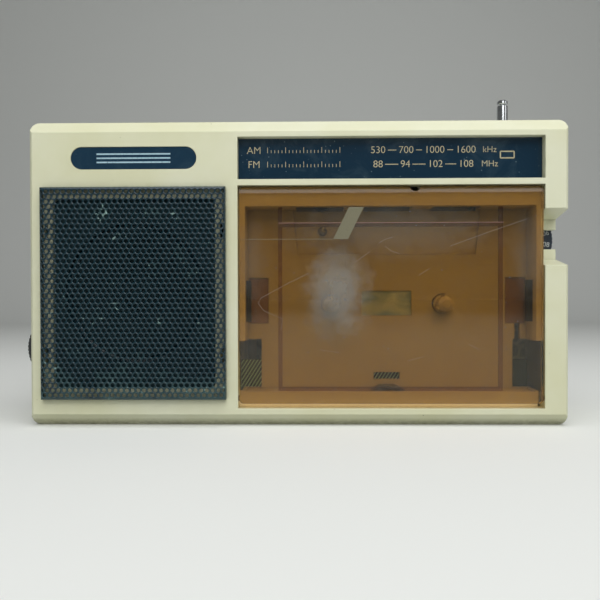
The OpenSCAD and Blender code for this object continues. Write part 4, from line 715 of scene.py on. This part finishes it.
# The signs by their corners in millimetres, and how far a doubled one is moved each way
to_left = ((-1.2, 0), (1.0, -1.25), (1.0, 1.25))
to_right = ((1.2, 0), (-1.0, 1.25), (-1.0, -1.25))
square = ((-1.2, -1.2), (1.2, -1.2), (1.2, 1.2), (-1.2, 1.2))
aside = 1.2
key_signs = {
    "key_rewind": ((to_left, -aside), (to_left, aside)),
    "key_play": ((to_right, 0.0),),
    "key_forward": ((to_right, -aside), (to_right, aside)),
    "key_stop": ((square, 0.0),),
}
black_ink = print_and_highlight_ink("black_ink", "#1a1c1c", "#5a5a4e")
for key, shapes in key_signs.items():
    key_low, key_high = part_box(key)
    key_x, key_y = (key_low.x + key_high.x) / 2, (key_low.y + key_high.y) / 2
    mesh = bmesh.new()
    for corners, shift in shapes:
        mesh.faces.new([mesh.verts.new((key_x + (x + shift) * MM, key_y + y * MM, key_high.z + ink_t))
                        for x, y in corners])
    sign = show(key + "_sign", mesh, black_ink)
    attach(sign, key)


# The switches: two slide switches in tinned steel cases on the board, worked by black knobs that stand through
# slots in the top. They change from tape to radio and from one waveband to the other.
dress(black_abs, "function_knob", "band_knob")
dress(zinc_steel, "function_switch", "band_switch")


# The sockets: an earphone jack and a power jack in black ABS, held in holes in the left side. Their mouths are
# plain bores, with the springs inside.
dress(black_abs, "earphone_jack", "power_jack")


# The battery bay: nickelled contact strips and steel coil springs stand in grooves at its two ends, and a cover
# of the cabinet's ivory ABS slides over it in the back.
dress(bright_nickel, "battery_contacts")
dress(spring_steel, "battery_springs")
dress(ivory_abs, "battery_cover")


# The thumbwheels: fluted wheels of navy and black ABS on their shafts. The tuning wheel has white frequency
# figures round its face, read in the finger notch; the volume wheel shows its edge in the left side.
dress(navy_abs, "tuning_wheel")
dress(black_abs, "volume_wheel")
wheel_low, wheel_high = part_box("tuning_wheel")
wheel_x, wheel_z = (wheel_low.x + wheel_high.x) / 2, (wheel_low.z + wheel_high.z) / 2
wheel_r = (wheel_high.x - wheel_low.x) / 2
figure_size, figure_inset, figure_step, first_turn = 2.6 * MM, 3.1 * MM, 20, -7.5
mesh = bmesh.new()
for k, figure in enumerate(("108", "106", "104", "102", "100", "98", "96", "94", "92", "90", "88")):
    turn = Matrix.Rotation(math.radians(-first_turn - k * figure_step), 4, "Y")
    spin = Matrix.Translation((wheel_x, 0, wheel_z)) @ turn
    lettering(mesh, figure, figure_size, spin @ facing_front(wheel_r - figure_inset, 0, wheel_low.y))
figures = show("tuning_figures", mesh, print_and_highlight_ink("white_ink", "#d8dcda", "#8c9496"))
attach(figures, "tuning_wheel")


# The antenna: four thin brass tubes, chrome plated, that slide into each other, with a turned cap on the rod. A
# steel clip holds the outer tube to the back of the cabinet.
def bright_chrome():
    """Chrome over nickel on brass: a clear mirror with faint drawing lines up the tube and a little tarnish."""
    made, tree, skin = new_finish("bright_chrome", {"Metallic": 1.0})
    place = add(tree, "TexCoord").outputs["Object"]
    drawn = add(tree, "VectorMath", {0: place, 1: (1, 1, 0.04)}, operation="MULTIPLY")
    lines = add(tree, "TexNoise", {"Vector": drawn.outputs[0], "Scale": 1 / (0.6 * MM), "Detail": 2})
    tarnish = add(tree, "TexNoise", {"Vector": place, "Scale": 1 / (4 * MM), "Detail": 4})
    tint = add(tree, "Mix", {0: tarnish.outputs[0], 6: linear("#dcdedf"), 7: linear("#9fa4a8")}, data_type="RGBA")
    tree.links.new(tint.outputs[2], skin.inputs["Base Color"])
    dull = add(tree, "MapRange", {0: lines.outputs[0], 3: 0.05, 4: 0.22})
    tree.links.new(dull.outputs[0], skin.inputs["Roughness"])
    return made


dress(bright_chrome(), "antenna_tube", "antenna_section_two", "antenna_section_three", "antenna_rod")
dress(zinc_steel, "antenna_clamp")


# The screws: zinc-plated steel with cross heads, put in last from behind, into pillars moulded in the halves.
# The shorter ones hold the mechanism and the boards.
dress(zinc_steel, "cabinet_screws", "mechanism_screws", "board_screws")
